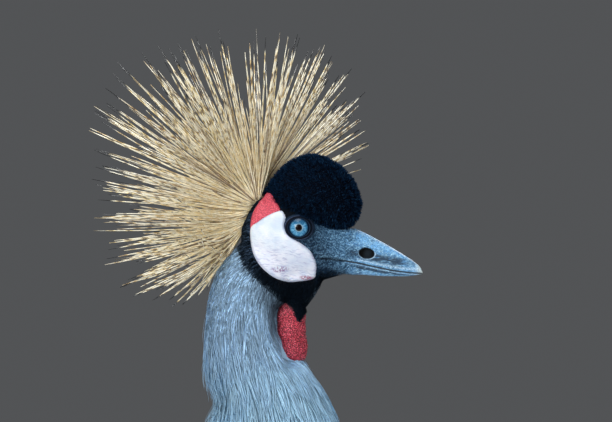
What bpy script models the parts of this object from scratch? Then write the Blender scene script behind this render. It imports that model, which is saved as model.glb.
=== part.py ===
# Grey crowned crane, life size, standing still with its head in profile.
# Metres, +Z up. The bird faces +X and stands on Z = 0, and its left side is +Y.
# Head and neck sizes are in millimetres from the eye's centre, body sizes from the floor under the feet.
import math
import random

import bmesh
import bpy
from mathutils import Vector
from mathutils.bvhtree import BVHTree

MM = 0.001
GAP = 0.0003  # clear space that two touching nodes keep
FORWARD_SHIFT = 0.040  # puts the middle of the whole outline over the origin
EYE_AHEAD = 0.165  # the eye's place ahead of the feet
EYE_HEIGHT = 0.955
HEAD_ORIGIN = Vector((EYE_AHEAD, 0, EYE_HEIGHT))
FLOOR_ORIGIN = Vector((0, 0, 0))

EYEBALL_RADIUS = 10.5 * MM
EYE_OUT = 12.2 * MM  # the ball's centre from the middle plane
LID_RADIUS = 8.9 * MM
LID_THICKNESS = 1.5 * MM

MOUND_CENTRE = HEAD_ORIGIN + Vector((-31, 0, 17)) * MM
MOUND_RADII = Vector((12, 6.8, 14)) * MM
CREST_SPINES = 150
CREST_GLOBE = 300  # directions on the whole globe, of which the open part keeps some
CREST_CLEAR_OF_CAP = 0.42  # how far to the left a bristle leans to pass the cap
CREST_ROOT_WIDTH = 1.5 * MM
CREST_CLEAR = 0.9 * MM  # how far the middle of a bristle stays from the skull, cap and neck
CREST_SEED = 7

VANE_THICKNESS = 1.5 * MM
SKULL_GRID = (13, 18)  # rings and sides of each round body
THROAT_GRID = (6, 12)
CAP_GRID = (12, 18)
BILL_GRID = (11, 14)
WATTLE_GRID = (8, 12)
NECK_GRID = (15, 16)
TORSO_GRID = (12, 20)
WING_GRID = (10, 12)
THIGH_GRID = (9, 14)
SHIN_GRID = (10, 10)
TARSUS_GRID = (9, 10)
VANE_CLEAR = 1.2 * MM  # height of a vane's middle over its node, near its root
ROOT_SUNK = 3.0 * MM
SHINGLE_TILT = 0.16  # each vane of a tier leans this much under the one above it

COLOURS = {
    "slate": (0.055, 0.075, 0.10, 0.60),
    "horn": (0.16, 0.22, 0.29, 0.45),
    "velvet": (0.006, 0.008, 0.014, 0.95),
    "white_skin": (0.80, 0.82, 0.85, 0.50),
    "red_skin": (0.62, 0.035, 0.045, 0.55),
    "iris": (0.22, 0.48, 0.66, 0.12),
    "straw": (0.66, 0.48, 0.22, 0.65),
    "neck_grey": (0.30, 0.39, 0.46, 0.80),
    "body_grey": (0.20, 0.25, 0.29, 0.80),
    "wing_white": (0.78, 0.74, 0.62, 0.75),
    "tail_black": (0.012, 0.013, 0.017, 0.60),
    "leg_black": (0.030, 0.032, 0.036, 0.55),
}


# A smooth round body through a few cross-sections. It runs from beak to tail, or down a neck or leg.
# Each station is x, z, half height and half width, with the middle's y, wrap and lean in the three after them.
class Loft:
    def __init__(self, origin, unit, stations, upright=False):
        self.upright = upright
        self.origin = origin
        self.stations = []
        for station in stations:
            x, z, tall, wide, y, wrap, lean = (list(station) + [0, 0, 0])[:7]
            self.stations.append([x * unit, y * unit, z * unit, tall * unit, wide * unit, wrap, lean])

    def _blend(self, t):
        last = len(self.stations) - 1
        place = min(max(t, 0), 1) * last
        i = min(int(place), last - 1)
        f = place - i
        a, b, c, d = (self.stations[min(max(k, 0), last)] for k in (i - 1, i, i + 1, i + 2))
        return [
            0.5 * (2 * q + (r - p) * f + (2 * p - 5 * q + 4 * r - s) * f * f + (3 * q - p - 3 * r + s) * f**3)
            for p, q, r, s in zip(a, b, c, d)
        ]

    def middle(self, t):
        return self.origin + Vector(self._blend(t)[:3])

    def along(self, t):
        step = 0.01
        return (self.middle(min(t + step, 1)) - self.middle(max(t - step, 0))).normalized()

    def up(self, t):
        if self.upright:
            return Vector((0, 0, 1))
        heading = self.along(t)
        return Vector((heading.z, 0, -heading.x)).normalized()

    def length(self):
        marks = [self.middle(k / 40) for k in range(41)]
        return sum((b - a).length for a, b in zip(marks, marks[1:]))

    # turn 0 faces the left side, 90 the back or top, 180 the right side and -90 the belly or throat
    def point(self, t, turn, lift=0.0):
        _, _, _, tall, wide, wrap, lean = self._blend(t)
        rise = math.sin(math.radians(turn)) * (tall + lift)
        out = math.cos(math.radians(turn)) * (wide + lift) - wrap * rise * rise - lean * rise
        place = self.middle(t) + self.up(t) * rise + Vector((0, out, 0))
        past = t - 1 if t > 1 else min(t, 0)
        return place + self.along(t) * (past * self.length())

    def normal(self, t, turn):
        t = min(max(t, 0), 1)
        small = 0.01
        along = self.point(min(t + small, 1), turn) - self.point(max(t - small, 0), turn)
        around = self.point(t, turn + 4) - self.point(t, turn - 4)
        outward = around.cross(along)
        if outward.length < 1e-12:
            return self.up(t)
        outward.normalize()
        return outward if outward.dot(self.point(t, turn) - self.middle(t)) > 0 else -outward

    def mesh(self, rings, sides, grow=0.0):
        shape = bmesh.new()
        rows = []
        for k in range(rings):
            t = k / (rings - 1)
            end = (k == rings - 1) - (k == 0)
            slide = self.along(t) * grow * end
            rows.append([shape.verts.new(self.point(t, 360 * s / sides, grow) + slide) for s in range(sides)])
        for front, back in zip(rows, rows[1:]):
            for s in range(sides):
                n = (s + 1) % sides
                shape.faces.new((front[s], front[n], back[n], back[s]))
        for row, t, end in ((rows[0], 0, -1), (rows[-1], 1, 1)):
            pole = shape.verts.new(self.middle(t) + self.along(t) * (2 * grow * end))
            for s in range(sides):
                shape.faces.new((row[s], row[(s + 1) % sides], pole))
        bmesh.ops.recalc_face_normals(shape, faces=shape.faces)
        return shape


# A flat tapered feather or lock. Both faces are split into triangles alike, so thin curved ones stay apart.
def blade(marks, thickness=VANE_THICKNESS):
    shape = bmesh.new()
    rows = []
    for k, (place, normal, half_width) in enumerate(marks[:-1]):
        heading = (marks[k + 1][0] - marks[max(k - 1, 0)][0]).normalized()
        across = heading.cross(normal).normalized() * half_width
        rise = normal * (thickness / 2)
        rows.append([shape.verts.new(place + step) for step in (-across, rise, across, -rise)])
    for near, far in zip(rows, rows[1:]):
        for edge, ridge in ((0, 1), (0, 3), (2, 1), (2, 3)):
            shape.faces.new((near[edge], near[ridge], far[ridge]))
            shape.faces.new((near[edge], far[ridge], far[edge]))
    tip = shape.verts.new(marks[-1][0])
    for edge, ridge in ((0, 1), (0, 3), (2, 1), (2, 3)):
        shape.faces.new((rows[-1][edge], rows[-1][ridge], tip))
    shape.faces.new((rows[0][0], rows[0][1], rows[0][2]))
    shape.faces.new((rows[0][0], rows[0][2], rows[0][3]))
    bmesh.ops.recalc_face_normals(shape, faces=shape.faces)
    return shape


# Width along a feather, as shares of its length and of its half width
FLIGHT_SHAPE = ((0, 0.35), (0.30, 0.95), (0.84, 0.85))
PLUME_SHAPE = ((0, 0.45), (0.28, 1.0), (0.70, 0.62))
SHORT_SHAPE = ((0, 0.50), (0.35, 1.0), (0.78, 0.85))


# A feather that lies on a loft from start to end, each (t, turn). It rises towards its tip, so that the
# tips of one tier lie over the roots of the next.
def laid(loft, start, end, half_width, lift, outline, roll=0.0):
    marks = []
    for share, width in list(outline) + [(1, 0)]:
        t = start[0] + (end[0] - start[0]) * share
        turn = start[1] + (end[1] - start[1]) * share
        height = -ROOT_SUNK if share == 0 else VANE_CLEAR + lift * share
        normal = loft.normal(t, turn)
        side = normal.cross(loft.along(t)).normalized()
        tilted = (normal + side * roll * share).normalized()
        marks.append((loft.point(t, turn) + normal * height, tilted, half_width * width))
    return blade(marks)


def solid(name, shape):
    mesh = bpy.data.meshes.new(name)
    shape.to_mesh(mesh)
    shape.free()
    body = bpy.data.objects.new(name, mesh)
    bpy.context.scene.collection.objects.link(body)
    return body


def apply_modifiers(body):
    graph = bpy.context.evaluated_depsgraph_get()
    finished = bpy.data.meshes.new_from_object(body.evaluated_get(graph))
    body.modifiers.clear()
    body.data = finished


# Keeps the largest closed surface, which fills sealed hollows and drops loose scraps
def keep_largest(body):
    shape = bmesh.new()
    shape.from_mesh(body.data)
    groups = []
    seen = set()
    for face in shape.faces:
        if face in seen:
            continue
        group, waiting = [], [face]
        seen.add(face)
        while waiting:
            here = waiting.pop()
            group.append(here)
            for edge in here.edges:
                for near in edge.link_faces:
                    if near not in seen:
                        seen.add(near)
                        waiting.append(near)
        groups.append(group)
    groups.sort(key=lambda group: sum(face.calc_area() for face in group))
    extra = [face for group in groups[:-1] for face in group]
    bmesh.ops.delete(shape, geom=extra, context="FACES")
    shape.to_mesh(body.data)
    shape.free()


# One Boolean union joins a node's pieces
def fuse(name, shapes, solver="MANIFOLD"):
    body = solid(name, shapes[0])
    if len(shapes) == 1:
        return body
    rest = bpy.data.collections.new(name + "_pieces")
    bpy.context.scene.collection.children.link(rest)
    for k, shape in enumerate(shapes[1:]):
        piece = solid(f"{name}_piece_{k}", shape)
        bpy.context.scene.collection.objects.unlink(piece)
        rest.objects.link(piece)
    join = body.modifiers.new("join", "BOOLEAN")
    join.operation = "UNION"
    join.operand_type = "COLLECTION"
    join.collection = rest
    join.solver = solver
    apply_modifiers(body)
    for piece in list(rest.objects):
        bpy.data.objects.remove(piece)
    bpy.data.collections.remove(rest)
    keep_largest(body)
    return body


def combine(body, shape, operation, solver="MANIFOLD"):
    tool = solid("tool", shape)
    change = body.modifiers.new("change", "BOOLEAN")
    change.operation = operation
    change.object = tool
    change.solver = solver
    apply_modifiers(body)
    bpy.data.objects.remove(tool)
    keep_largest(body)
    return body


def carve(body, *shapes):
    for shape in shapes:
        combine(body, shape, "DIFFERENCE")
    return body


# Keeps the side of a plane that its normal points away from, and closes the cut
def trim(body, place, normal):
    shape = bmesh.new()
    shape.from_mesh(body.data)
    geometry = list(shape.verts) + list(shape.edges) + list(shape.faces)
    cut = bmesh.ops.bisect_plane(shape, geom=geometry, plane_co=place, plane_no=normal, clear_outer=True)
    rim = [item for item in cut["geom_cut"] if isinstance(item, bmesh.types.BMEdge)]
    if rim:
        bmesh.ops.triangle_fill(shape, use_beauty=True, edges=rim)
    bmesh.ops.recalc_face_normals(shape, faces=shape.faces)
    shape.to_mesh(body.data)
    shape.free()
    keep_largest(body)
    return body


def finish(body, material, smooth_angle=40):
    body.data.materials.clear()
    body.data.materials.append(material)
    body.data.shade_smooth()
    body.data.set_sharp_from_angle(angle=math.radians(smooth_angle))
    return body


def mirrored(body, name):
    shape = bmesh.new()
    shape.from_mesh(body.data)
    for corner in shape.verts:
        corner.co.y = -corner.co.y
    bmesh.ops.reverse_faces(shape, faces=shape.faces)
    twin = solid(name, shape)
    return finish(twin, body.data.materials[0])


def paint(name):
    red, green, blue, roughness = COLOURS[name]
    material = bpy.data.materials.new(name)
    material.use_nodes = True
    shader = material.node_tree.nodes["Principled BSDF"]
    shader.inputs["Base Color"].default_value = (red, green, blue, 1)
    shader.inputs["Roughness"].default_value = roughness
    shader.inputs["Metallic"].default_value = 0
    return material


# A closed prism across the bird, through an outline of (x, z) in millimetres from the eye
def prism(outline, y_from, y_to):
    shape = bmesh.new()
    near = [shape.verts.new(HEAD_ORIGIN + Vector((x * MM, y_from, z * MM))) for x, z in outline]
    far = [shape.verts.new(HEAD_ORIGIN + Vector((x * MM, y_to, z * MM))) for x, z in outline]
    shape.faces.new(near)
    shape.faces.new(far)
    for k in range(len(outline)):
        n = (k + 1) % len(outline)
        shape.faces.new((near[k], near[n], far[n], far[k]))
    bmesh.ops.recalc_face_normals(shape, faces=shape.faces)
    bmesh.ops.triangulate(shape, faces=shape.faces)
    return shape


def ball(centre, radii, rings=9, sides=16):
    shape = bmesh.new()
    bmesh.ops.create_uvsphere(shape, u_segments=sides, v_segments=rings, radius=1)
    for corner in shape.verts:
        corner.co = Vector([c * r for c, r in zip(corner.co, radii)]) + centre
    return shape


# The head
SKULL = Loft(
    HEAD_ORIGIN,
    MM,
    [
        (36, -18.3, 17.5, 10.2),
        (25, -18, 20.5, 13.5),
        (14, -15.5, 25.5, 17.3),
        (3, -11.5, 30.5, 20.3),
        (-9, -8.5, 33.5, 21.5),
        (-22, -5.5, 32, 20),
        (-33, -5, 24, 15.5),
        (-40, -6, 13, 9),
        (-43, -6, 5, 4),
    ],
    upright=True,
)
THROAT = Loft(
    HEAD_ORIGIN,
    MM,
    [
        (2, -28, 20, 15),
        (0, -42, 17, 14),
        (-3, -52, 14, 12),
        (-5, -61, 9.5, 9.5),
        (-4, -66, 5, 5),
    ],
)
CAP = Loft(
    HEAD_ORIGIN,
    MM,
    [
        (48.6, 18, 5, 5),
        (46.2, 18, 12.5, 11.5),
        (41.5, 19.5, 20, 16.5),
        (33, 22.5, 25.5, 20),
        (21, 26, 29, 22),
        (9, 27, 30, 22),
        (-5, 25, 28, 19.5),
        (-17, 20, 23.5, 15.5),
        (-28, 13, 15.5, 9.5),
        (-36, 9, 6, 4),
    ],
    upright=True,
)
BILL = Loft(
    HEAD_ORIGIN,
    MM,
    [
        (94, -34.7, 0.6, 0.7),
        (91, -32.9, 3.0, 1.8),
        (81, -30.1, 6.9, 3.3),
        (64, -24.7, 12.1, 5.6),
        (47, -19.4, 16.4, 8.2),
        (38, -18.2, 17.6, 9.7),
        (30, -18, 19, 11),
    ],
    upright=True,
)
MOUTH_LINE = ((14, -22.8), (30, -24.6), (44, -26.8), (58, -30), (71, -32.8), (84, -34.5), (97, -35.3))
MOUTH_GROOVE_DEPTH = 1.2 * MM
NOSTRIL_AT = (51.5, -19.5)
NOSTRIL_SIZE = (5.4, 3.6)
FACE_EDGE = 34.5  # where feathered face meets horny bill
CHEEK_WHITE = (
    (-13, 12.5), (-10, 7), (-11, 0), (-8, -6.5), (0, -12.4), (8, -19), (12, -28), (11, -37), (3, -41), (-9, -41.5),
    (-21, -37), (-31, -26), (-36, -12), (-35.8, 0), (-27, 7), (-19, 11),
)
CHEEK_RED = ((-36, 1.4), (-27, 8.2), (-18.6, 12.6), (-13.2, 14.2), (-17.6, 20), (-22.5, 25), (-29, 19.4), (-34.5, 10.5))
CHEEK_THICKNESS = 1.5 * MM
WATTLE_UPPER = Loft(
    HEAD_ORIGIN,
    MM,
    [
        (-4, -58, 4, 4),
        (-5, -62, 9, 8),
        (-6.5, -70, 11.5, 10.5),
        (-6, -79, 11.5, 11),
        (-4, -86, 9, 9),
        (-3, -90, 4, 4),
    ],
)
WATTLE_LOWER = Loft(
    HEAD_ORIGIN,
    MM,
    [
        (-3, -76, 5, 5),
        (-4, -81, 9.5, 9.5),
        (-4, -90, 10.5, 10.5),
        (-2.6, -97, 8.2, 8.6),
        (-1.5, -101, 4.5, 5),
        (-1.2, -102.3, 1.5, 1.5),
    ],
)
# The neck, from inside the head down to the breast
NECK = Loft(
    HEAD_ORIGIN,
    MM,
    [
        (-14, -6, 18, 15),
        (-25, -27, 28, 21),
        (-35, -47, 33, 26),
        (-41, -72, 32, 29),
        (-38.5, -97, 34.5, 32),
        (-29, -122, 42, 37),
        (-21, -147, 49, 43),
        (-14, -180, 55, 51),
        (-13, -215, 62, 59),
        (-24, -252, 68, 64),
        (-44, -288, 64, 60),
        (-66, -318, 42, 42),
    ],
)
NECK_CUTS = (-100, -176)  # heights at which the neck is parted into three lengths
TORSO = Loft(
    FLOOR_ORIGIN,
    1.0,
    [
        (0.170, 0.702, 0.018, 0.018),
        (0.152, 0.688, 0.052, 0.050),
        (0.112, 0.655, 0.084, 0.078),
        (0.058, 0.615, 0.104, 0.094),
        (-0.005, 0.577, 0.108, 0.099),
        (-0.070, 0.545, 0.096, 0.092),
        (-0.130, 0.516, 0.073, 0.072),
        (-0.185, 0.490, 0.046, 0.046),
        (-0.222, 0.472, 0.020, 0.020),
    ],
)
WING = Loft(
    FLOOR_ORIGIN,
    1.0,
    [
        (0.135, 0.655, 0.016, 0.006, 0.080, 4.5, 0.20),
        (0.112, 0.649, 0.044, 0.013, 0.087, 4.5, 0.20),
        (0.060, 0.634, 0.068, 0.017, 0.096, 4.5, 0.22),
        (-0.010, 0.606, 0.078, 0.018, 0.099, 4.5, 0.24),
        (-0.085, 0.569, 0.076, 0.016, 0.089, 4.5, 0.26),
        (-0.160, 0.529, 0.064, 0.012, 0.068, 4.5, 0.30),
        (-0.235, 0.483, 0.045, 0.009, 0.045, 4.5, 0.35),
        (-0.300, 0.434, 0.024, 0.005, 0.029, 4.5, 0.40),
    ],
)
TAIL_BASE = Vector((-0.190, 0, 0.474))
TAIL_PITCH = math.radians(-40)
TAIL_LENGTH = 0.195
TAIL_FEATHERS = 12
FOOT_JOINT = Vector((-0.006, 0.046, 0.020))
THIGH = Loft(
    FLOOR_ORIGIN,
    1.0,
    [
        (0.044, 0.535, 0.030, 0.024, 0.050),
        (0.040, 0.500, 0.050, 0.033, 0.051),
        (0.027, 0.450, 0.045, 0.031, 0.052),
        (0.007, 0.402, 0.032, 0.025, 0.052),
        (-0.010, 0.362, 0.019, 0.016, 0.0505),
        (-0.017, 0.338, 0.010, 0.0095, 0.0495),
    ],
)
SHIN = Loft(
    FLOOR_ORIGIN,
    1.0,
    [
        (-0.014, 0.352, 0.0066, 0.0060, 0.0500),
        (-0.022, 0.318, 0.0062, 0.0056, 0.0490),
        (-0.031, 0.280, 0.0062, 0.0056, 0.0480),
        (-0.038, 0.252, 0.0088, 0.0080, 0.0472),
        (-0.040, 0.238, 0.0100, 0.0088, 0.0470),
        (-0.038, 0.227, 0.0070, 0.0068, 0.0470),
    ],
)
TARSUS = Loft(
    FLOOR_ORIGIN,
    1.0,
    [
        (-0.0385, 0.234, 0.0060, 0.0060, 0.0470),
        (-0.0360, 0.218, 0.0074, 0.0064, 0.0470),
        (-0.0300, 0.180, 0.0054, 0.0048, 0.0468),
        (-0.0200, 0.110, 0.0050, 0.0045, 0.0464),
        (-0.0105, 0.045, 0.0058, 0.0056, 0.0461),
        (-0.0070, 0.022, 0.0078, 0.0080, 0.0460),
    ],
)
# Each toe is its length, its heading from straight ahead and its thickness at the root
TOES = ((0.094, 2, 0.0118), (0.074, 34, 0.0106), (0.068, -27, 0.0106), (0.036, 172, 0.0090))
CLAW_LENGTH = 0.018
TOE_RINGS = 6
TOE_SIDES = 6


def nostril_pits():
    x, z = NOSTRIL_AT
    sizes = Vector((NOSTRIL_SIZE[0], 3.4, NOSTRIL_SIZE[1])) * MM
    return [ball(HEAD_ORIGIN + Vector((x * MM, side * 7.6 * MM, z * MM)), sizes, 5, 8) for side in (1, -1)]


# A thin band across the bird along the mouth line, from one half width to another
def mouth_band(y_near, y_far, thickness, first=0, last=None):
    shape = bmesh.new()
    rows = []
    for x, z in MOUTH_LINE[first:last]:
        y_in, y_out = y_near(x), y_far(x)
        corners = ((y_in, -1), (y_out, -1), (y_out, 1), (y_in, 1))
        rows.append([
            shape.verts.new(HEAD_ORIGIN + Vector((x * MM, y, z * MM + side * thickness / 2))) for y, side in corners
        ])
    for near, far in zip(rows, rows[1:]):
        for k in range(4):
            n = (k + 1) % 4
            shape.faces.new((near[k], near[n], far[n], far[k]))
    shape.faces.new(rows[0])
    shape.faces.new(rows[-1])
    bmesh.ops.recalc_face_normals(shape, faces=shape.faces)
    bmesh.ops.triangulate(shape, faces=shape.faces)
    return shape


def eye_place(side):
    return HEAD_ORIGIN + Vector((0, side * EYE_OUT, 0))


# The lids are a ring that stands round the eyeball where it leaves the head
def lid_ring(side):
    shape = bmesh.new()
    steps, around = 14, 4
    lid_out = EYE_OUT + 7.2 * MM
    rows = []
    for k in range(steps):
        turn = 2 * math.pi * k / steps
        ring = Vector((math.cos(turn) * 1.08, 0, math.sin(turn) * 0.94))
        row = []
        for j in range(around):
            swing = 2 * math.pi * j / around
            reach = LID_RADIUS + LID_THICKNESS * math.cos(swing)
            lean = 0.10 * reach * math.cos(turn)  # the head narrows towards the bill
            out = lid_out + LID_THICKNESS * math.sin(swing) - lean
            row.append(shape.verts.new(HEAD_ORIGIN + ring * reach + Vector((0, side * out, 0))))
        rows.append(row)
    for k in range(steps):
        near, far = rows[k], rows[(k + 1) % steps]
        for j in range(around):
            n = (j + 1) % around
            shape.faces.new((near[j], near[n], far[n], far[j]))
    bmesh.ops.recalc_face_normals(shape, faces=shape.faces)
    return shape


def skull_cutter(more=0.0):
    return SKULL.mesh(*SKULL_GRID, GAP + 0.1 * MM + more)


def throat_cutter():
    return THROAT.mesh(*THROAT_GRID, GAP + 0.1 * MM)


def cap_cutter():
    return CAP.mesh(*CAP_GRID, GAP + 0.1 * MM)


def neck_cutter():
    return NECK.mesh(*NECK_GRID, GAP + 0.1 * MM)


def torso_cutter():
    return TORSO.mesh(*TORSO_GRID, GAP + 0.2 * MM)


def eye_cutters():
    socket = (EYEBALL_RADIUS + GAP,) * 3
    return [ball(eye_place(side), socket, 8, 12) for side in (1, -1)]


def make_head(slate):
    pieces = [SKULL.mesh(*SKULL_GRID), THROAT.mesh(*THROAT_GRID), lid_ring(1), lid_ring(-1)]
    head = fuse("head", pieces)
    carve(head, *eye_cutters())

    def skin_half_width(x):
        return (17.6 - 0.27 * (x - 14)) * MM

    for side in (1, -1):
        groove = mouth_band(
            lambda x: side * (skin_half_width(x) - MOUTH_GROOVE_DEPTH), lambda x: side * 24 * MM, 0.8 * MM, 0, 4
        )
        carve(head, groove)
    trim(head, HEAD_ORIGIN + Vector((FACE_EDGE, 0, 0)) * MM, Vector((1, 0, 0)))
    return finish(head, slate)


def make_eyes(iris):
    for side, name in ((1, "eye_left"), (-1, "eye_right")):
        radii = (EYEBALL_RADIUS,) * 3
        finish(solid(name, ball(eye_place(side), radii, 8, 12)), iris, 60)


def make_bill(horn):
    whole = solid("bill_whole", BILL.mesh(*BILL_GRID))
    trim(whole, HEAD_ORIGIN + Vector((FACE_EDGE * MM + GAP, 0, 0)), Vector((-1, 0, 0)))
    carve(whole, *nostril_pits())
    halves = (("bill_upper", 1), ("bill_lower", -1))
    line = [(x, z) for x, z in MOUTH_LINE]
    for name, side in halves:
        far_edge = 20 if side > 0 else -60
        clearance = side * (GAP / MM) / 2
        outline = [(x, z + clearance) for x, z in line] + [(97, far_edge), (14, far_edge)]
        half = bpy.data.objects.new(name, whole.data.copy())
        bpy.context.scene.collection.objects.link(half)
        combine(half, prism(outline, -0.03, 0.03), "INTERSECT")
        finish(half, horn)
    bpy.data.objects.remove(whole)


def make_cap(velvet):
    cap = carve(solid("cap", CAP.mesh(*CAP_GRID)), skull_cutter(), BILL.mesh(*BILL_GRID, GAP), *eye_cutters())
    return finish(cap, velvet)


# A thin plate of bare skin that follows the left side of the skull inside an outline
def cheek_plate(name, outline, thickness, spread=1.0):
    centre = sum((Vector(point) for point in outline), Vector((0, 0))) / len(outline)
    wider = [centre + (Vector(point) - centre) * spread for point in outline]
    plate = solid(name, SKULL.mesh(*SKULL_GRID, thickness))
    return combine(plate, prism(wider, 4 * MM, 40 * MM), "INTERSECT")


def shape_of(body):
    shape = bmesh.new()
    shape.from_mesh(body.data)
    bpy.data.objects.remove(body)
    return shape


def make_cheeks(white, red):
    for name, outline, material in (("cheek_white", CHEEK_WHITE, white), ("cheek_red", CHEEK_RED, red)):
        plate = cheek_plate(name + "_left", outline, CHEEK_THICKNESS)
        lids = lid_ring(1)
        for corner in lids.verts:
            corner.co = eye_place(1) + (corner.co - eye_place(1)) * 1.06
        carve(plate, skull_cutter(), cap_cutter(), throat_cutter(), lids)
        finish(plate, material)
        mirrored(plate, name + "_right")


# Room for the four cheek plates, cut out of what lies behind them
def cheek_cutters():
    cutters = []
    for outline in (CHEEK_WHITE, CHEEK_RED):
        shape = shape_of(cheek_plate("room", outline, CHEEK_THICKNESS + 2 * GAP, 1.04))
        twin = shape.copy()
        for corner in twin.verts:
            corner.co.y = -corner.co.y
        bmesh.ops.reverse_faces(twin, faces=twin.faces)
        cutters += [shape, twin]
    return cutters


def make_wattle(red):
    wattle = fuse("wattle", [WATTLE_UPPER.mesh(*WATTLE_GRID), WATTLE_LOWER.mesh(*WATTLE_GRID)])
    carve(wattle, THROAT.mesh(*THROAT_GRID, 2 * GAP), skull_cutter(GAP))
    return finish(wattle, red)


def wattle_cutters():
    grow = GAP + 0.2 * MM
    return [WATTLE_UPPER.mesh(*WATTLE_GRID, grow), WATTLE_LOWER.mesh(*WATTLE_GRID, grow)]


# How far the crest reaches in each direction of the profile, in degrees above straight ahead
CREST_REACH = ((15, 96), (45, 132), (75, 138), (105, 146), (145, 148), (180, 128), (215, 120), (250, 90))


def crest_reach(angle):
    for (low, near), (high, far) in zip(CREST_REACH, CREST_REACH[1:]):
        if angle <= high:
            share = (angle - low) / (high - low)
            return (near + (far - near) * share) * MM
    return CREST_REACH[-1][1] * MM


# Directions spread evenly over the open part of the crest's globe. On the near side none leans over the cap.
def crest_directions(count):
    golden = math.pi * (3 - math.sqrt(5))
    found = []
    k = 0
    while len(found) < count:
        height = 1 - 2 * (k + 0.5) / CREST_GLOBE
        turn = golden * k
        flat = math.sqrt(1 - height * height)
        aim = Vector((flat * math.cos(turn), height, flat * math.sin(turn)))
        angle = math.degrees(math.atan2(aim.z, aim.x)) % 360
        lowest = 22 if aim.y > CREST_CLEAR_OF_CAP else 74
        if lowest < angle < 244 and abs(aim.y) < 0.97:
            found.append((aim, angle))
        k += 1
        if k == CREST_GLOBE:
            break
    return found


# A stiff tapered bristle. All its rings share one pair of cross directions, so its sides don't twist.
def spine(places, root_width):
    shape = bmesh.new()
    heading = (places[-1] - places[0]).normalized()
    across = heading.orthogonal().normalized()
    other = heading.cross(across)
    rows = []
    for k, place in enumerate(places[:-1]):
        radius = root_width / 2 * (1 - 0.5 * k / (len(places) - 1))
        turns = [math.radians(120 * j) for j in range(3)]
        rows.append([shape.verts.new(place + (across * math.cos(a) + other * math.sin(a)) * radius) for a in turns])
    for near, far in zip(rows, rows[1:]):
        for j in range(3):
            n = (j + 1) % 3
            shape.faces.new((near[j], near[n], far[n]))
            shape.faces.new((near[j], far[n], far[j]))
    tip = shape.verts.new(places[-1])
    for j in range(3):
        shape.faces.new((rows[-1][j], rows[-1][(j + 1) % 3], tip))
    shape.faces.new(rows[0])
    bmesh.ops.recalc_face_normals(shape, faces=shape.faces)
    return shape


# A crest of stiff bristles from a small mound behind the cap
def make_crest(straw):
    chance = random.Random(CREST_SEED)
    walls = [BVHTree.FromBMesh(wall) for wall in (skull_cutter(CHEEK_THICKNESS), cap_cutter(), neck_cutter())]
    shapes = [ball(MOUND_CENTRE, MOUND_RADII, 8, 12)]
    for aim, angle in crest_directions(CREST_SPINES):
        reach = crest_reach(angle) * (1 - 0.06 * aim.y * aim.y) * chance.uniform(0.84, 1.0)
        round_cap = Vector((-0.45, 0.35, 0.1)) * max(0, 1 - angle / 90)
        bow = Vector([chance.uniform(-1, 1) for _ in range(3)]) * 0.04
        first = (aim + round_cap + bow).normalized()
        root = MOUND_CENTRE + Vector([c * r for c, r in zip(first, MOUND_RADII)]) * 0.70
        middle = root + first * (reach * 0.46)
        tip = MOUND_CENTRE + aim * reach
        along = [root.lerp(middle, f) for f in (0.03, 0.08, 0.14, 0.25, 0.4, 0.6, 0.8, 1.0)]
        along += [middle.lerp(tip, f) for f in (0.25, 0.5, 0.75, 1.0)]
        if all(not inside(wall, place, CREST_CLEAR) for wall in walls for place in along):
            shapes.append(spine([root, middle, tip], CREST_ROOT_WIDTH))
    crest = fuse("crest", shapes)
    carve(crest, skull_cutter(0.1 * MM), cap_cutter(), neck_cutter())
    return finish(crest, straw)


# Whether a place lies inside a closed wall, or nearer to it than the margin
def inside(wall, place, margin):
    nearest, normal, _, distance = wall.find_nearest(place)
    return distance < margin or (place - nearest).dot(normal) < 0


# A block that spans the bird between two heights from the eye
def layer(low, high):
    shape = bmesh.new()
    bmesh.ops.create_cube(shape, size=1)
    for corner in shape.verts:
        corner.co = HEAD_ORIGIN + Vector((corner.co.x, corner.co.y, high if corner.co.z > 0 else low))
    return shape


# Each tier of neck locks: how far down the neck, how long, their half width in millimetres and how many
NECK_TIERS = {
    "neck_upper": (),
    "neck_middle": ((0.410, 0.105, 13, 9), (0.478, 0.140, 14, 9)),
    "neck_lower": ((0.650, 0.120, 18, 9), (0.715, 0.130, 20, 9), (0.785, 0.140, 21, 8)),
}


def make_neck(grey):
    tops = {"neck_upper": 0.1, "neck_middle": NECK_CUTS[0] * MM, "neck_lower": NECK_CUTS[1] * MM}
    bottoms = {"neck_upper": tops["neck_middle"], "neck_middle": tops["neck_lower"], "neck_lower": -0.5}
    for name, tiers in NECK_TIERS.items():
        shapes = [NECK.mesh(*NECK_GRID)]
        for row, (t, reach, half_width, count) in enumerate(tiers):
            for k in range(count):
                turn = 360 * (k + 0.5 * (row % 2)) / count
                tip = (t + reach * (0.92 + 0.08 * math.cos(3 * k)), turn + 3 * math.sin(5 * k))
                lift = (2.2 + 0.8 * (k % 2)) * MM
                shapes.append(laid(NECK, (t, turn), tip, half_width * MM, lift, PLUME_SHAPE))
        node = fuse(name, shapes)
        combine(node, layer(bottoms[name] + GAP / 2, tops[name] - GAP / 2), "INTERSECT")
        if name == "neck_upper":
            carve(node, skull_cutter(), throat_cutter(), *wattle_cutters(), *cheek_cutters())
        if name == "neck_middle":
            carve(node, *wattle_cutters())
        if name == "neck_lower":
            carve(node, torso_cutter())
        finish(node, grey)


def make_torso(grey):
    return finish(solid("torso", TORSO.mesh(*TORSO_GRID)), grey)


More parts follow.
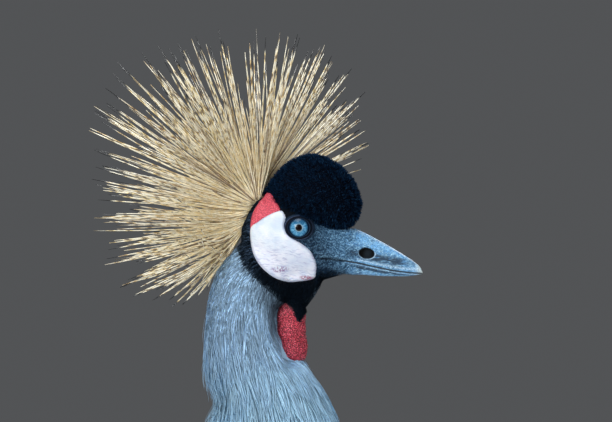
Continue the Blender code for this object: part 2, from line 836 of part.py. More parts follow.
# Tiers of feathers on a folded wing. Height runs from -1 at its lower edge to 1 at its upper edge.
WING_TIERS = (
    # first (t, height), last (t, height), run along and up, half width, count, outline, lift
    ((0.130, 0.62), (0.090, -0.62), (0.16, -0.08), 16, 4, SHORT_SHAPE, 2.4),
    ((0.235, 0.75), (0.182, -0.83), (0.17, -0.08), 17, 5, SHORT_SHAPE, 2.9),
    ((0.350, 0.80), (0.300, -0.86), (0.25, -0.08), 17, 5, FLIGHT_SHAPE, 3.2),
    ((0.520, 0.84), (0.480, -0.86), (0.40, -0.10), 16, 6, FLIGHT_SHAPE, 4.0),
    ((0.660, 0.80), (0.640, -0.10), (0.40, -0.35), 14, 4, FLIGHT_SHAPE, 4.6),
)


def make_wings(white):
    shapes = [WING.mesh(*WING_GRID)]
    for first, last, run, half_width, count, outline, lift in WING_TIERS:
        for k in range(count):
            share = k / (count - 1)
            t = first[0] + (last[0] - first[0]) * share
            height = first[1] + (last[1] - first[1]) * share
            reach = run[0] * (0.95 + 0.05 * math.cos(4 * k))
            start = (t, math.degrees(math.asin(height)))
            end = (t + reach, math.degrees(math.asin(max(height + run[1], -0.95))))
            shapes.append(laid(WING, start, end, half_width * MM, lift * MM, outline, roll=SHINGLE_TILT))
    wing = fuse("wing_left", shapes)
    carve(wing, torso_cutter(), neck_cutter(), THIGH.mesh(*THIGH_GRID, 2 * GAP))
    finish(wing, white)
    mirrored(wing, "wing_right")


def make_tail(black):
    heading = Vector((math.cos(TAIL_PITCH) * -1, 0, math.sin(TAIL_PITCH)))
    up = Vector((heading.z, 0, -heading.x)).normalized()
    core = Loft(
        TAIL_BASE,
        1.0,
        [
            (heading.x * d, heading.z * d, tall, wide)
            for d, tall, wide in ((-0.02, 0.022, 0.026), (0.02, 0.020, 0.032), (0.06, 0.012, 0.034), (0.10, 0.004, 0.030))
        ],
    )
    shapes = [core.mesh(7, 16)]
    for k in range(TAIL_FEATHERS):
        side = (k - (TAIL_FEATHERS - 1) / 2) / ((TAIL_FEATHERS - 1) / 2)
        stack = (1 - abs(side)) * 9 * MM + (0.6 * MM if side > 0 else 0)
        marks = []
        for share, width in list(FLIGHT_SHAPE) + [(1, 0)]:
            run = 0.03 + (TAIL_LENGTH - 0.03) * (1 - 0.10 * side * side) * share
            y = side * (0.022 + 0.040 * share)
            sag = -0.012 * share * share
            place = TAIL_BASE + heading * run + up * (stack - 6 * MM + sag * (0.6 + side * side)) + Vector((0, y, 0))
            marks.append((place, up, 14 * MM * width))
        shapes.append(blade(marks))
    tail = fuse("tail", shapes)
    carve(tail, torso_cutter())
    return finish(tail, black)


def make_legs(grey, black):
    thigh = carve(solid("thigh_left", THIGH.mesh(*THIGH_GRID)), torso_cutter())
    shin = carve(solid("shin_left", SHIN.mesh(*SHIN_GRID)), THIGH.mesh(*THIGH_GRID, GAP + 0.1 * MM))
    tarsus = carve(solid("tarsus_left", TARSUS.mesh(*TARSUS_GRID)), SHIN.mesh(*SHIN_GRID, GAP + 0.1 * MM))
    foot = make_foot()
    carve(foot, TARSUS.mesh(*TARSUS_GRID, GAP + 0.1 * MM))
    for part, material in ((thigh, grey), (shin, black), (tarsus, black), (foot, black)):
        finish(part, material)
        mirrored(part, part.name.replace("left", "right"))


# A tapered toe, swollen at each joint, that lies along the floor
def toe(root, ahead, length, thick):
    side = Vector((-ahead.y, ahead.x, 0))
    shape = bmesh.new()
    rows = []
    for k in range(TOE_RINGS):
        share = k / (TOE_RINGS - 1)
        radius = thick / 2 * (1 - 0.46 * share) * (1 + 0.10 * math.cos(6 * math.pi * share))
        middle = root + ahead * (length * share)
        middle.z = radius * 0.86 + (root.z - radius) * max(0, 1 - 3 * share)
        turns = [2 * math.pi * j / TOE_SIDES for j in range(TOE_SIDES)]
        rows.append([
            shape.verts.new(middle + side * (math.cos(a) * radius) + Vector((0, 0, math.sin(a) * radius))) for a in turns
        ])
    for near, far in zip(rows, rows[1:]):
        for j in range(TOE_SIDES):
            n = (j + 1) % TOE_SIDES
            shape.faces.new((near[j], near[n], far[n], far[j]))
    shape.faces.new(rows[0])
    shape.faces.new(rows[-1])
    bmesh.ops.recalc_face_normals(shape, faces=shape.faces)
    return shape


def make_foot():
    hub = Vector((FOOT_JOINT.x, FOOT_JOINT.y, 0.0095))
    shapes = [ball(Vector((hub.x, hub.y, 0.0130)), (0.0105, 0.0098, 0.0150), 7, 10)]
    for length, heading, thick in TOES:
        a = math.radians(heading)
        ahead = Vector((math.cos(a), math.sin(a), 0))
        shapes.append(toe(hub, ahead, length, thick))
        base = hub + ahead * (length * 0.95)
        heights = (0.0026, 0.0030, 0.0034, 0.0014)
        reaches = (-0.004, 0.003, 0.010, CLAW_LENGTH)
        places = [Vector((base.x, base.y, rise)) + ahead * run for run, rise in zip(reaches, heights)]
        shapes.append(spine(places, thick * 0.58))
    foot = fuse("foot_left", shapes)
    return trim(foot, Vector((0, 0, 0)), Vector((0, 0, -1)))


def main():
    for old in list(bpy.data.objects):
        bpy.data.objects.remove(old)
    look = {name: paint(name) for name in COLOURS}
    make_head(look["slate"])
    make_eyes(look["iris"])
    make_bill(look["horn"])
    make_cap(look["velvet"])
    make_cheeks(look["white_skin"], look["red_skin"])
    make_wattle(look["red_skin"])
    make_crest(look["straw"])
    make_neck(look["neck_grey"])
    make_torso(look["body_grey"])
    make_wings(look["wing_white"])
    make_tail(look["tail_black"])
    make_legs(look["body_grey"], look["leg_black"])
    whole = bpy.data.objects.new("crane", None)
    bpy.context.scene.collection.objects.link(whole)
    whole.location.x = FORWARD_SHIFT
    for body in bpy.data.objects:
        if body.type == "MESH":
            body.parent = whole


main()
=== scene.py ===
# Looks of a life-size grey crowned crane: one skin, its coat of solid feathers, crest, bill, eyes and legs.
# Metres. The bird faces +X and its left side is +Y. Sizes of the head are in millimetres from the eye.
import math

import bmesh
import bpy
import numpy as np
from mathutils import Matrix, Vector
from mathutils.bvhtree import BVHTree
from mathutils.kdtree import KDTree


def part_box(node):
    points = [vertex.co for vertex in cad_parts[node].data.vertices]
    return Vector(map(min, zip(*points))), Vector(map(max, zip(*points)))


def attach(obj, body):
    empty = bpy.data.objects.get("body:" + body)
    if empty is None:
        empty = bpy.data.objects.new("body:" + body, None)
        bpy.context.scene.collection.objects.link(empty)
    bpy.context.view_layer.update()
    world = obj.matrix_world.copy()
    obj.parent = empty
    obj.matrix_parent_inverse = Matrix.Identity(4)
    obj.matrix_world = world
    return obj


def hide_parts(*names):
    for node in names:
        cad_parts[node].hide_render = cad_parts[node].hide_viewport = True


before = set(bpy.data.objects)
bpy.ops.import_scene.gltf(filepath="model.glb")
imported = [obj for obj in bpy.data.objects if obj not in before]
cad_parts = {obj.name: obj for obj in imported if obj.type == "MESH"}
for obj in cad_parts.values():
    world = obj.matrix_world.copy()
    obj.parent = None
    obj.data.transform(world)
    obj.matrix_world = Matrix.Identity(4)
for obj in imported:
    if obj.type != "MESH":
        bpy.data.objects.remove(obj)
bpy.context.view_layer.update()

mm = 0.001
eyeLow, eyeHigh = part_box("eye_right")
headAt = np.array([(eyeLow.x + eyeHigh.x) / 2, 0, (eyeLow.z + eyeHigh.z) / 2])
floorAt = headAt - np.array([0.165, 0, 0.955])  # the body's own origin, on the floor under the feet
scene = bpy.context.scene


# Shader maths: a wrapped socket, so that values add, multiply and compare like numbers
class Wire:
    def __init__(self, paint, socket):
        self.paint = paint
        self.socket = socket

    def maths(self, operation, *others):
        sockets = dict(enumerate((self,) + others))
        return self.paint.node("ShaderNodeMath", {"operation": operation}, sockets)

    def __add__(self, other):
        return self.maths("ADD", other)

    __radd__ = __add__

    def __mul__(self, other):
        return self.maths("MULTIPLY", other)

    __rmul__ = __mul__

    def __sub__(self, other):
        return self.maths("SUBTRACT", other)

    def __rsub__(self, other):
        return self.paint.node("ShaderNodeMath", {"operation": "SUBTRACT"}, {0: other, 1: self})

    def __pow__(self, other):
        return self.maths("POWER", other)

    def smooth(self, low, high):  # 0 below low, 1 above high
        settings = {"interpolation_type": "SMOOTHSTEP", "clamp": True}
        sockets = {"Value": self, "From Min": low, "From Max": high, "To Min": 0.0, "To Max": 1.0}
        return self.paint.node("ShaderNodeMapRange", settings, sockets)


# A material with a Principled shader, and one method that adds any node
class Paint:
    def __init__(self, name, **fixed):
        self.material = bpy.data.materials.new(name)
        self.material.use_nodes = True
        self.tree = self.material.node_tree
        self.shader = self.tree.nodes["Principled BSDF"]
        for socket, value in fixed.items():
            self.shader.inputs[socket.replace("_", " ")].default_value = value

    def join(self, value, socket):
        if isinstance(value, Wire):
            self.tree.links.new(value.socket, socket)
        elif isinstance(value, (tuple, list)) and len(value) == 3 and socket.type == "RGBA":
            socket.default_value = (*value, 1)
        else:
            socket.default_value = value

    def node(self, kind, settings=None, sockets=None, out=0):
        made = self.tree.nodes.new(kind)
        for name, value in (settings or {}).items():
            if name == "stops":
                ramp = made.color_ramp
                while len(ramp.elements) < len(value):
                    ramp.elements.new(0.5)
                for stop, (place, colour) in zip(ramp.elements, value):
                    stop.position = place
                    stop.color = (*colour, 1)
            else:
                setattr(made, name, value)
        for name, value in (sockets or {}).items():
            self.join(value, made.inputs[name])
        return Wire(self, made.outputs[out])

    def place(self):
        return self.node("ShaderNodeTexCoord", out="Object")

    def apart(self, vector):
        made = self.node("ShaderNodeSeparateXYZ", sockets={0: vector})
        return [Wire(self, made.socket.node.outputs[k]) for k in range(3)]

    def headPlace(self):  # ahead of, left of and above the eye, in millimetres
        moved = self.node("ShaderNodeVectorMath", {"operation": "SUBTRACT"}, {0: self.place(), 1: tuple(headAt)})
        return self.node("ShaderNodeVectorMath", {"operation": "SCALE"}, {0: moved, "Scale": 1 / mm})

    def noise(self, scale, detail=3.0, vector=None, rough=0.55):
        sockets = {"Vector": vector or self.place(), "Scale": scale, "Detail": detail, "Roughness": rough}
        return self.node("ShaderNodeTexNoise", {}, sockets)

    def cells(self, scale, vector=None, jitter=1.0):  # 0 at each cell's middle
        sockets = {"Vector": vector or self.place(), "Scale": scale, "Randomness": jitter}
        return self.node("ShaderNodeTexVoronoi", {"feature": "F1"}, sockets)

    def mix(self, share, first, second, way="MIX"):
        settings = {"data_type": "RGBA", "blend_type": way}
        return self.node("ShaderNodeMix", settings, {0: share, 6: first, 7: second}, out=2)

    def ramp(self, value, stops):
        return self.node("ShaderNodeValToRGB", {"stops": stops}, {0: value})

    def attribute(self, name, out="Fac"):
        return self.node("ShaderNodeAttribute", {"attribute_name": name}, out=out)

    def colour(self, value):
        self.join(value, self.shader.inputs["Base Color"])

    def rough(self, value):
        self.join(value, self.shader.inputs["Roughness"])

    def bump(self, height, strength, distance):
        sockets = {"Height": height, "Strength": strength, "Distance": distance}
        self.join(self.node("ShaderNodeBump", {}, sockets), self.shader.inputs["Normal"])


def unit(vectors):
    return vectors / np.maximum(np.linalg.norm(vectors, axis=-1, keepdims=True), 1e-12)


def ease(values, low, high):  # 0 up to low, 1 from high
    share = np.clip((values - low) / (high - low), 0, 1)
    return share * share * (3 - 2 * share)


def hump(values, middle, reach):  # 1 at the middle, near 0 past twice the reach
    return np.exp(-(((values - middle) / reach) ** 2))


def localParts(places):  # ahead of, left of and above the eye, in millimetres
    local = (places - headAt) / mm
    return local[:, 0], local[:, 1], local[:, 2]


def through(a, b, c, d, f):  # from b to c on the smooth curve through all four
    return 0.5 * (2 * b + (c - a) * f + (2 * a - 5 * b + 4 * c - d) * f**2 + (3 * b - a - 3 * c + d) * f**3)


# A smooth round body through a few cross-sections: x, z, half height, half width, y, wrap and lean
class Form:
    def __init__(self, base, size, stations, upright=False):
        self.rows = np.zeros((len(stations), 7))
        for row, station in zip(self.rows, stations):
            row[: len(station)] = station
        self.rows[:, :5] *= size
        self.base = base
        self.upright = upright
        marks = self.middle(np.linspace(0, 1, 41))
        self.length = np.linalg.norm(np.diff(marks, axis=0), axis=1).sum()

    def blend(self, t):
        last = len(self.rows) - 1
        place = np.clip(t, 0, 1) * last
        i = np.minimum(place.astype(int), last - 1)
        f = (place - i)[..., None]
        return through(*(self.rows[np.clip(i + k, 0, last)] for k in (-1, 0, 1, 2)), f)

    def middle(self, t):
        return self.base + self.blend(np.asarray(t, float))[..., [0, 4, 1]]

    def along(self, t):
        return unit(self.middle(np.minimum(t + 0.01, 1)) - self.middle(np.maximum(t - 0.01, 0)))

    def up(self, t):
        ahead = self.along(t)
        if self.upright:
            return np.zeros_like(ahead) + np.array([0, 0, 1.0])
        return unit(np.stack([ahead[..., 2], 0 * ahead[..., 0], -ahead[..., 0]], -1))

    # turn 0 is the left side, a quarter the back or top, a half the right side and three quarters the belly
    def at(self, t, turn, lift=0.0):
        t, turn = np.broadcast_arrays(np.asarray(t, float), np.asarray(turn, float))
        _, _, tall, wide, _, wrap, lean = np.moveaxis(self.blend(t), -1, 0)
        rise = np.sin(turn) * (tall + lift)
        out = np.cos(turn) * (wide + lift) - wrap * rise * rise - lean * rise
        past = np.where(t > 1, t - 1, np.minimum(t, 0)) * self.length
        place = self.middle(t) + self.up(t) * rise[..., None] + self.along(t) * past[..., None]
        place[..., 1] += out
        return place

    def normal(self, t, turn):
        t = np.clip(t, 0.004, 0.996)
        along = self.at(np.minimum(t + 0.01, 1), turn) - self.at(np.maximum(t - 0.01, 0), turn)
        around = self.at(t, turn + 0.07) - self.at(t, turn - 0.07)
        outward = unit(np.cross(around, along))
        facing = np.sum(outward * (self.at(t, turn) - self.middle(t)), -1, keepdims=True)
        return np.where(facing < 0, -outward, outward)


# The bird's parts. Those of the head are in millimetres from the eye, the others in metres from the floor.
skull = Form(headAt, mm, [
    (36, -18.3, 17.5, 10.2), (25, -18, 20.5, 13.5), (14, -15.5, 25.5, 17.3), (3, -11.5, 30.5, 20.3),
    (-9, -8.5, 33.5, 21.5), (-22, -5.5, 32, 20), (-33, -5, 24, 15.5), (-40, -6, 13, 9), (-43, -6, 5, 4),
], upright=True)
throat = Form(headAt, mm, [
    (2, -28, 20, 15), (0, -42, 17, 13.5), (-3, -52, 14, 10.5), (-5, -61, 9.5, 7.5), (-4, -66, 5, 4.5),
])
capForm = Form(headAt, mm, [
    (48.6, 18, 5, 5), (46.2, 18, 12.5, 11.5), (41.5, 19.5, 20, 16.5), (33, 22.5, 25.5, 20), (21, 26, 29, 22),
    (9, 27, 30, 22), (-5, 25, 28, 19.5), (-17, 20, 23.5, 15.5), (-28, 13, 15.5, 9.5), (-36, 9, 6, 4),
], upright=True)
billForm = Form(headAt, mm, [
    (94, -34.6, 0.6, 0.7), (91, -32.3, 3.5, 1.8), (81, -29.2, 7.7, 3.3), (64, -24.1, 12.7, 5.6),
    (47, -19.2, 16.6, 8.2), (38, -18.2, 17.6, 9.7), (30, -18, 19, 11),
], upright=True)
wattleUpper = Form(headAt, mm, [
    (-7, -51, 5, 5.5), (-6.8, -56, 8.5, 9.2), (-6.5, -62, 11.3, 10.6), (-6.5, -70, 11.6, 11.2), (-6, -79, 11.5, 10.8),
    (-4, -86, 9, 9), (-3, -90, 4, 4),
])
wattleLower = Form(headAt, mm, [
    (-3, -76, 5, 5), (-4, -81, 9.5, 8.8), (-4, -90, 10.5, 9.4), (-3.2, -97, 9.6, 8.0), (-2.8, -100.6, 7.4, 5.6),
    (-2.6, -102.4, 3.4, 2.4),
])
neck = Form(headAt, mm, [
    (-14, -6, 18, 15), (-25, -27, 28, 21), (-35, -47, 33, 26), (-41, -72, 32, 29), (-38.5, -97, 34.5, 32),
    (-29, -122, 42, 37), (-21, -147, 49, 43), (-14, -180, 55, 51), (-13, -215, 62, 59), (-24, -252, 68, 64),
    (-44, -288, 64, 60), (-66, -318, 42, 42),
])
torso = Form(floorAt, 1.0, [
    (0.170, 0.702, 0.018, 0.018), (0.152, 0.688, 0.052, 0.050), (0.112, 0.655, 0.084, 0.078),
    (0.058, 0.615, 0.104, 0.094), (-0.005, 0.577, 0.108, 0.099), (-0.070, 0.545, 0.096, 0.092),
    (-0.130, 0.516, 0.073, 0.072), (-0.185, 0.490, 0.046, 0.046), (-0.222, 0.472, 0.020, 0.020),
])
wing = Form(floorAt, 1.0, [
    (0.135, 0.655, 0.016, 0.006, 0.080, 4.5, 0.20), (0.112, 0.649, 0.044, 0.013, 0.087, 4.5, 0.20),
    (0.060, 0.634, 0.068, 0.017, 0.096, 4.5, 0.22), (-0.010, 0.606, 0.078, 0.018, 0.099, 4.5, 0.24),
    (-0.085, 0.569, 0.076, 0.016, 0.089, 4.5, 0.26), (-0.160, 0.529, 0.064, 0.012, 0.068, 4.5, 0.30),
    (-0.235, 0.483, 0.045, 0.009, 0.045, 4.5, 0.35), (-0.300, 0.434, 0.024, 0.005, 0.029, 4.5, 0.40),
])
thigh = Form(floorAt, 1.0, [
    (0.044, 0.535, 0.030, 0.024, 0.050), (0.040, 0.500, 0.050, 0.033, 0.051), (0.027, 0.450, 0.045, 0.031, 0.052),
    (0.007, 0.402, 0.032, 0.025, 0.052), (-0.010, 0.362, 0.019, 0.016, 0.0505), (-0.017, 0.338, 0.010, 0.0095, 0.0495),
])
shin = Form(floorAt, 1.0, [
    (-0.012, 0.362, 0.0066, 0.0060, 0.0503), (-0.022, 0.318, 0.0062, 0.0056, 0.0490),
    (-0.031, 0.280, 0.0062, 0.0056, 0.0480), (-0.038, 0.252, 0.0088, 0.0080, 0.0472),
    (-0.040, 0.238, 0.0100, 0.0088, 0.0470), (-0.038, 0.227, 0.0070, 0.0068, 0.0470),
])
tarsus = Form(floorAt, 1.0, [
    (-0.0385, 0.238, 0.0060, 0.0060, 0.0470), (-0.0360, 0.218, 0.0074, 0.0064, 0.0470),
    (-0.0300, 0.180, 0.0054, 0.0048, 0.0468), (-0.0200, 0.110, 0.0050, 0.0045, 0.0464),
    (-0.0105, 0.045, 0.0058, 0.0056, 0.0461), (-0.0070, 0.018, 0.0078, 0.0080, 0.0460),
])


def flipped(places):
    return places * np.array([1, -1, 1])


def mirrored(shells):
    return [(flipped(places), *faces) for places, *faces in shells]


# A mesh object from corner places and groups of faces of one size each
def makeBody(name, places, groups, material, smooth=True):
    mesh = bpy.data.meshes.new(name)
    used = np.concatenate([group.ravel() for group in groups]).astype(np.int32)
    sides = np.concatenate([np.full(len(group), group.shape[1]) for group in groups])
    starts = np.concatenate([[0], np.cumsum(sides)[:-1]]).astype(np.int32)
    mesh.vertices.add(len(places))
    mesh.vertices.foreach_set("co", places.astype(np.float32).ravel())
    mesh.loops.add(len(used))
    mesh.loops.foreach_set("vertex_index", used)
    mesh.polygons.add(len(sides))
    mesh.polygons.foreach_set("loop_start", starts)
    mesh.update(calc_edges=True)
    mesh.polygons.foreach_set("use_smooth", np.full(len(sides), smooth))
    mesh.materials.append(material)
    body = bpy.data.objects.new(name, mesh)
    scene.collection.objects.link(body)
    return body


def settle(body, *nodes, slot):  # a finished piece: hung under the root, with the parts it stands for hidden
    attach(body, "root")
    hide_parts(*nodes)
    body.data.calc_loop_triangles()
    print(f"{body.name}: {len(body.data.loop_triangles)} triangles")


def baked(body):  # applies every modifier
    graph = bpy.context.evaluated_depsgraph_get()
    finished = bpy.data.meshes.new_from_object(body.evaluated_get(graph))
    body.modifiers.clear()
    body.data = finished
    return body


def outwards(body):
    shape = bmesh.new()
    shape.from_mesh(body.data)
    bmesh.ops.remove_doubles(shape, verts=shape.verts, dist=1e-6)
    bmesh.ops.recalc_face_normals(shape, faces=shape.faces)
    shape.to_mesh(body.data)
    shape.free()
    return body


def corners(body):
    places = np.empty(len(body.data.vertices) * 3, np.float32)
    body.data.vertices.foreach_get("co", places)
    return places.reshape(-1, 3).astype(float)


def cornerNormals(body):
    normals = np.empty(len(body.data.vertices) * 3, np.float32)
    body.data.vertices.foreach_get("normal", normals)
    return normals.reshape(-1, 3).astype(float)


def moveCorners(body, places):
    body.data.vertices.foreach_set("co", places.astype(np.float32).ravel())
    body.data.update()


def keepNumber(body, name, values):
    kind = "FLOAT_VECTOR" if values.ndim == 2 else "FLOAT"
    layer = body.data.attributes.new(name, kind, "POINT")
    layer.data.foreach_set("vector" if values.ndim == 2 else "value", values.astype(np.float32).ravel())


def tubeFaces(rings, sides):  # between rings of places
    k, j = np.meshgrid(np.arange(rings - 1), np.arange(sides), indexing="ij")
    n = (j + 1) % sides
    return np.stack([k * sides + j, k * sides + n, (k + 1) * sides + n, (k + 1) * sides + j], -1).reshape(-1, 4)


def tube(rows):  # rows: rings, sides, 3; both ends close on a pole
    rings, sides = rows.shape[:2]
    places = np.concatenate([rows.reshape(-1, 3), rows[0].mean(0, keepdims=True), rows[-1].mean(0, keepdims=True)])
    j = np.arange(sides)
    n = (j + 1) % sides
    far = (rings - 1) * sides
    ends = np.concatenate([
        np.stack([n, j, np.full(sides, rings * sides)], -1),
        np.stack([far + j, far + n, np.full(sides, rings * sides + 1)], -1),
    ])
    return places, tubeFaces(rings, sides), ends


def shell(form, rings, sides, lift=0.0, first=0.0, last=1.0):
    t, turn = np.meshgrid(np.linspace(first, last, rings), np.arange(sides) * 2 * math.pi / sides, indexing="ij")
    return tube(form.at(t, turn, lift(t) if callable(lift) else lift))


def joined(shells):  # their places, and their faces as groups
    places, quads, ends, count = [], [], [], 0
    for corner, sides, caps in shells:
        places.append(corner)
        quads.append(sides + count)
        ends.append(caps + count)
        count += len(corner)
    return np.concatenate(places), [np.concatenate(quads), np.concatenate(ends)]


# Several closed shells become one smooth closed surface
def fuse(name, shells, voxel, passes, material):
    body = outwards(makeBody(name, *joined(shells), material))
    remesh = body.modifiers.new("even", "REMESH")
    remesh.mode = "VOXEL"
    remesh.voxel_size = voxel
    remesh.use_smooth_shade = True
    calm = body.modifiers.new("calm", "SMOOTH")
    calm.factor = 0.5
    calm.iterations = passes
    baked(body)
    body.data.materials.clear()
    body.data.materials.append(material)
    return body


# Outlines on the side of the head, in millimetres ahead of and above the eye
outlines = {
    "white": ((-13, 12.8), (-10, 8), (-11, 1), (-8, -5.8), (0, -10.8), (8.4, -17.4), (12.9, -26.5), (13.0, -34.5),
              (10.8, -38.8), (0, -40.6), (-9, -40.8), (-19, -37.4), (-28.5, -29.5), (-34.2, -20), (-36.6, -9),
              (-36.3, 0.5), (-31, 4.6), (-26, 8), (-19, 11.6)),
    "red": ((-36.6, -0.6), (-31, 3.4), (-26, 7), (-18.6, 10.6), (-14.0, 12.8), (-17.6, 20), (-22.7, 26.6), (-29.4, 20),
            (-35, 11)),
    "black": ((-20, 34), (-30, 25), (-37, 15), (-42, 6), (-45, -5), (-44, -18), (-39, -29), (-31, -38), (-22, -46),
              (-15, -52), (-10, -55), (-5, -58.6), (-2.4, -65), (0.6, -70), (3, -66), (4.8, -62.5), (9, -57), (13, -48),
              (17, -43.5), (23, -40), (30, -36.4), (26, -33.8), (17, -32.8), (12.5, -36), (-5, -30), (-22, -20),
              (-26, 0), (-18, 18)),
    "wattle": ((-18.2, -70.7), (-17.4, -64), (-15.9, -61), (-7, -56), (0, -57), (5.5, -64.9), (5.4, -81.6),
               (6.7, -93), (6.5, -98.3), (3.1, -102.1), (-4.5, -102.1), (-9.8, -99.9), (-13.1, -94.9), (-14, -87.7),
               (-16.3, -77.8)),
}


def rounded(points, steps=6):
    points = np.array(points, float)
    f = (np.arange(steps) / steps)[None, :, None]
    return through(*(np.roll(points, -k, axis=0)[:, None] for k in (-1, 0, 1, 2)), f).reshape(-1, 2)


# How far inside an outline each place is, in millimetres; negative outside it
def inside(outline, places):
    local = (places - headAt)[..., [0, 2]].reshape(-1, 2) / mm
    a = rounded(outlines[outline])
    b = np.roll(a, -1, axis=0)
    nearest = np.full(len(local), 1e9)
    crossings = np.zeros(len(local), int)
    for start, end in zip(a, b):
        edge = end - start
        share = np.clip(((local - start) @ edge) / (edge @ edge), 0, 1)
        nearest = np.minimum(nearest, np.linalg.norm(local - start - share[:, None] * edge, axis=1))
        spans = (start[1] > local[:, 1]) != (end[1] > local[:, 1])
        if start[1] != end[1]:
            meets = start[0] + (local[:, 1] - start[1]) * edge[0] / edge[1]
            crossings += spans & (local[:, 0] < meets)
    return np.where(crossings % 2 == 1, nearest, -nearest).reshape(places.shape[:-1])


colours = {  # linear
    "lores": (0.009, 0.046, 0.115),
    "browBlue": (0.150, 0.410, 0.760),
    "frost": (0.420, 0.740, 1.000),
    "black": (0.0012, 0.0030, 0.0062),
    "coal": (0.050, 0.085, 0.145),
    "neckDark": (0.470, 0.710, 0.970),
    "neckPale": (0.500, 0.790, 1.000),
    "bodyDark": (0.080, 0.100, 0.122),
    "bodyPale": (0.250, 0.305, 0.365),
    "belly": (0.185, 0.225, 0.265),
    "white": (0.780, 0.770, 0.720),
    "gold": (0.640, 0.430, 0.150),
    "straw": (0.780, 0.640, 0.370),
    "chestnut": (0.150, 0.035, 0.016),
    "flight": (0.010, 0.011, 0.015),
}
colours = {name: np.array(value) for name, value in colours.items()}


def blended(first, second, share):
    return first + (second - first) * np.asarray(share)[..., None]


mouthLine = ((12, -22.4), (16, -23.2), (30, -24.6), (44, -26.8), (58, -30), (71, -32.8), (84, -34.5), (97, -35.3))


def overMouth(u, w):
    return w - np.interp(u, *zip(*mouthLine))


# Soft spots of a given size in millimetres, from 0 to 1
def spots(local, size):
    waves = np.array([(1.0, 0.3, 0.2), (-0.4, 0.9, 0.6), (0.5, -0.6, 1.0), (-0.8, -0.3, 0.9), (0.2, 0.8, -0.9)])
    pace = 2 * math.pi / size * np.array([0.8, 0.95, 1.1, 1.25, 1.4])
    bent = local + size * 0.6 * np.sin(local[..., ::-1] * 1.3 / size + 1)
    return ease(np.sin((bent @ waves.T) * pace + np.arange(5) * 1.7).sum(-1), -1.2, 2.6)


# The coat's markings by place. The skin under it carries the same ones.
def markings(places, chance=None):
    local = (places - headAt) / mm
    u, w = local[..., 0], local[..., 2]
    own = (np.full(u.shape, 0.5) if chance is None else chance)[..., None] - 0.5
    depth = inside("black", places)
    grey = blended(colours["neckDark"], colours["neckPale"], ease(-w, 70, 140))
    mottle = (1 - ease(-w, 55, 105)) * (spots(local, 2.3) - 0.45)
    # The front of the neck darkens towards the black band lower down: painted shade beside the band, partly the black's
    # soft edge.
    grey = grey * (1 + 0.9 * mottle)[..., None] * (1 - 0.8 * ease(depth, -20, -2) * ease(-w, 34, 56))[..., None]
    # Darker round the upper part of the wattle: painted shade of the wattle on the neck.
    grey = grey * (1 - 0.7 * ease(inside("wattle", places), -9, 0) * ease(w, -86, -62))[..., None]
    grey = grey * (1 + (0.45 + 0.45 * (1 - ease(-w, 60, 115)))[..., None] * own)
    grey = blended(grey, colours["bodyPale"] * (1 + 0.35 * own), ease(-w, 130, 330))
    grey = blended(grey, colours["belly"] * (1 + 0.35 * own), ease(-w, 380, 560) * 0.8)
    rise = ease(u + 0.45 * (w + 12), 8, 44)
    face = blended(colours["lores"], colours["browBlue"], rise) * (1 + 0.7 * own)
    flecks = spots(local, 1.7) ** 1.6
    face = blended(face * (1 - 0.6 * (1 - flecks))[..., None], colours["frost"], flecks * (0.26 + 0.74 * rise) * 0.9)
    away = overMouth(u, w)
    onMouth = ease(u, 13, 18)
    lines = hump(away, 1.6, 0.5) + 0.7 * hump(away - 5.0 + 0.1 * u, 0, 0.5)
    face = blended(face, colours["frost"], onMouth * lines * (0.1 + 0.5 * flecks))
    # A black line along the mouth, in the skin's groove: painted shade in the groove.
    face = blended(face, colours["black"], onMouth * hump(away, 0, 0.9))
    face = blended(face, colours["lores"] * 0.45, ease(-away, 3, 11) * (1 - ease(u, 26, 44)) * 0.85)
    face = blended(face, colours["black"], ease(w, 4.5, 8.5) * (1 - ease(u, 8, 18)))  # over the eye
    onFace = ease(u + 0.25 * w, -22, -14) * ease(w, -46, -40)
    tint = blended(grey, face, onFace)
    root = ease(w, -4, 2) * ease(-u, 28, 32)  # under the crest
    streaks = spots(local * (0.4, 0.4, 1.3), 1.6) * ease(-u, 24, 36) * ease(w, -48, -26)
    dark = blended(colours["black"], colours["coal"], streaks) * (1 + own)
    return blended(tint, dark, np.maximum(ease(depth + 5 * own[..., 0], -2.0, 2.0), root))


# The skin: fine on the head and upper neck, coarser under the long feathers
skinSizes = {
    "headVoxel": 1.1 * mm,
    "bodyVoxel": 5.0 * mm,
    "headDepth": -1.1 * mm,  # how far under the solids it lies
    "neckDepth": -3.0 * mm,
    "bodyDepth": -6.0 * mm,
    "thighDepth": -4.0 * mm,
    "split": 0.64,  # how far down the neck the fine part ends
    "wattleBack": ((50, -12), (58, -16.5), (70, -18), (80, -17.4), (88, -14), (96, -12), (103, -8)),
    "socketRadius": 9.2,
    "socketDepth": 1.6,  # under the eyeball's surface
    "hollow": (17, -4, 7, 6, -1.0),  # before the eye: its middle, how far it reaches each way, and its height
    "brow": (1, 11.5, 13, 2.6, 0.9),
    "jaw": (24, -30, 9, 4.5, 0.7),
    "notch": (-135, 13, 5.0),  # in the nape: height, reach and depth
}


def skinPaint():
    paint = Paint("skin", Specular_IOR_Level=0.1)
    tint = paint.attribute("tint", "Color")
    grain = paint.noise(900.0, 3.0)
    # The markings darken towards near-black by up to a half, in a grainy pattern: partly grain, partly painted shade of
    # the skin under the coat.
    paint.colour(paint.mix(grain * 0.5, tint, (0.002, 0.004, 0.008)))
    paint.rough(0.55 + 0.2 * grain)
    pores = paint.cells(1100.0)
    paint.bump(pores + grain, 0.5, 0.0004)
    return paint.material


def eyeReach(u, w):  # from the eye's middle, as an oval
    return np.hypot(u / 1.06, w / 0.96)


def eyeSurface(reach):  # height of the eyeball's surface over the middle plane, in millimetres
    radius = eyeSizes["ballRadius"]
    return eyeSizes["ballOut"] + np.sqrt(radius**2 - np.minimum(reach, radius - 0.1) ** 2)


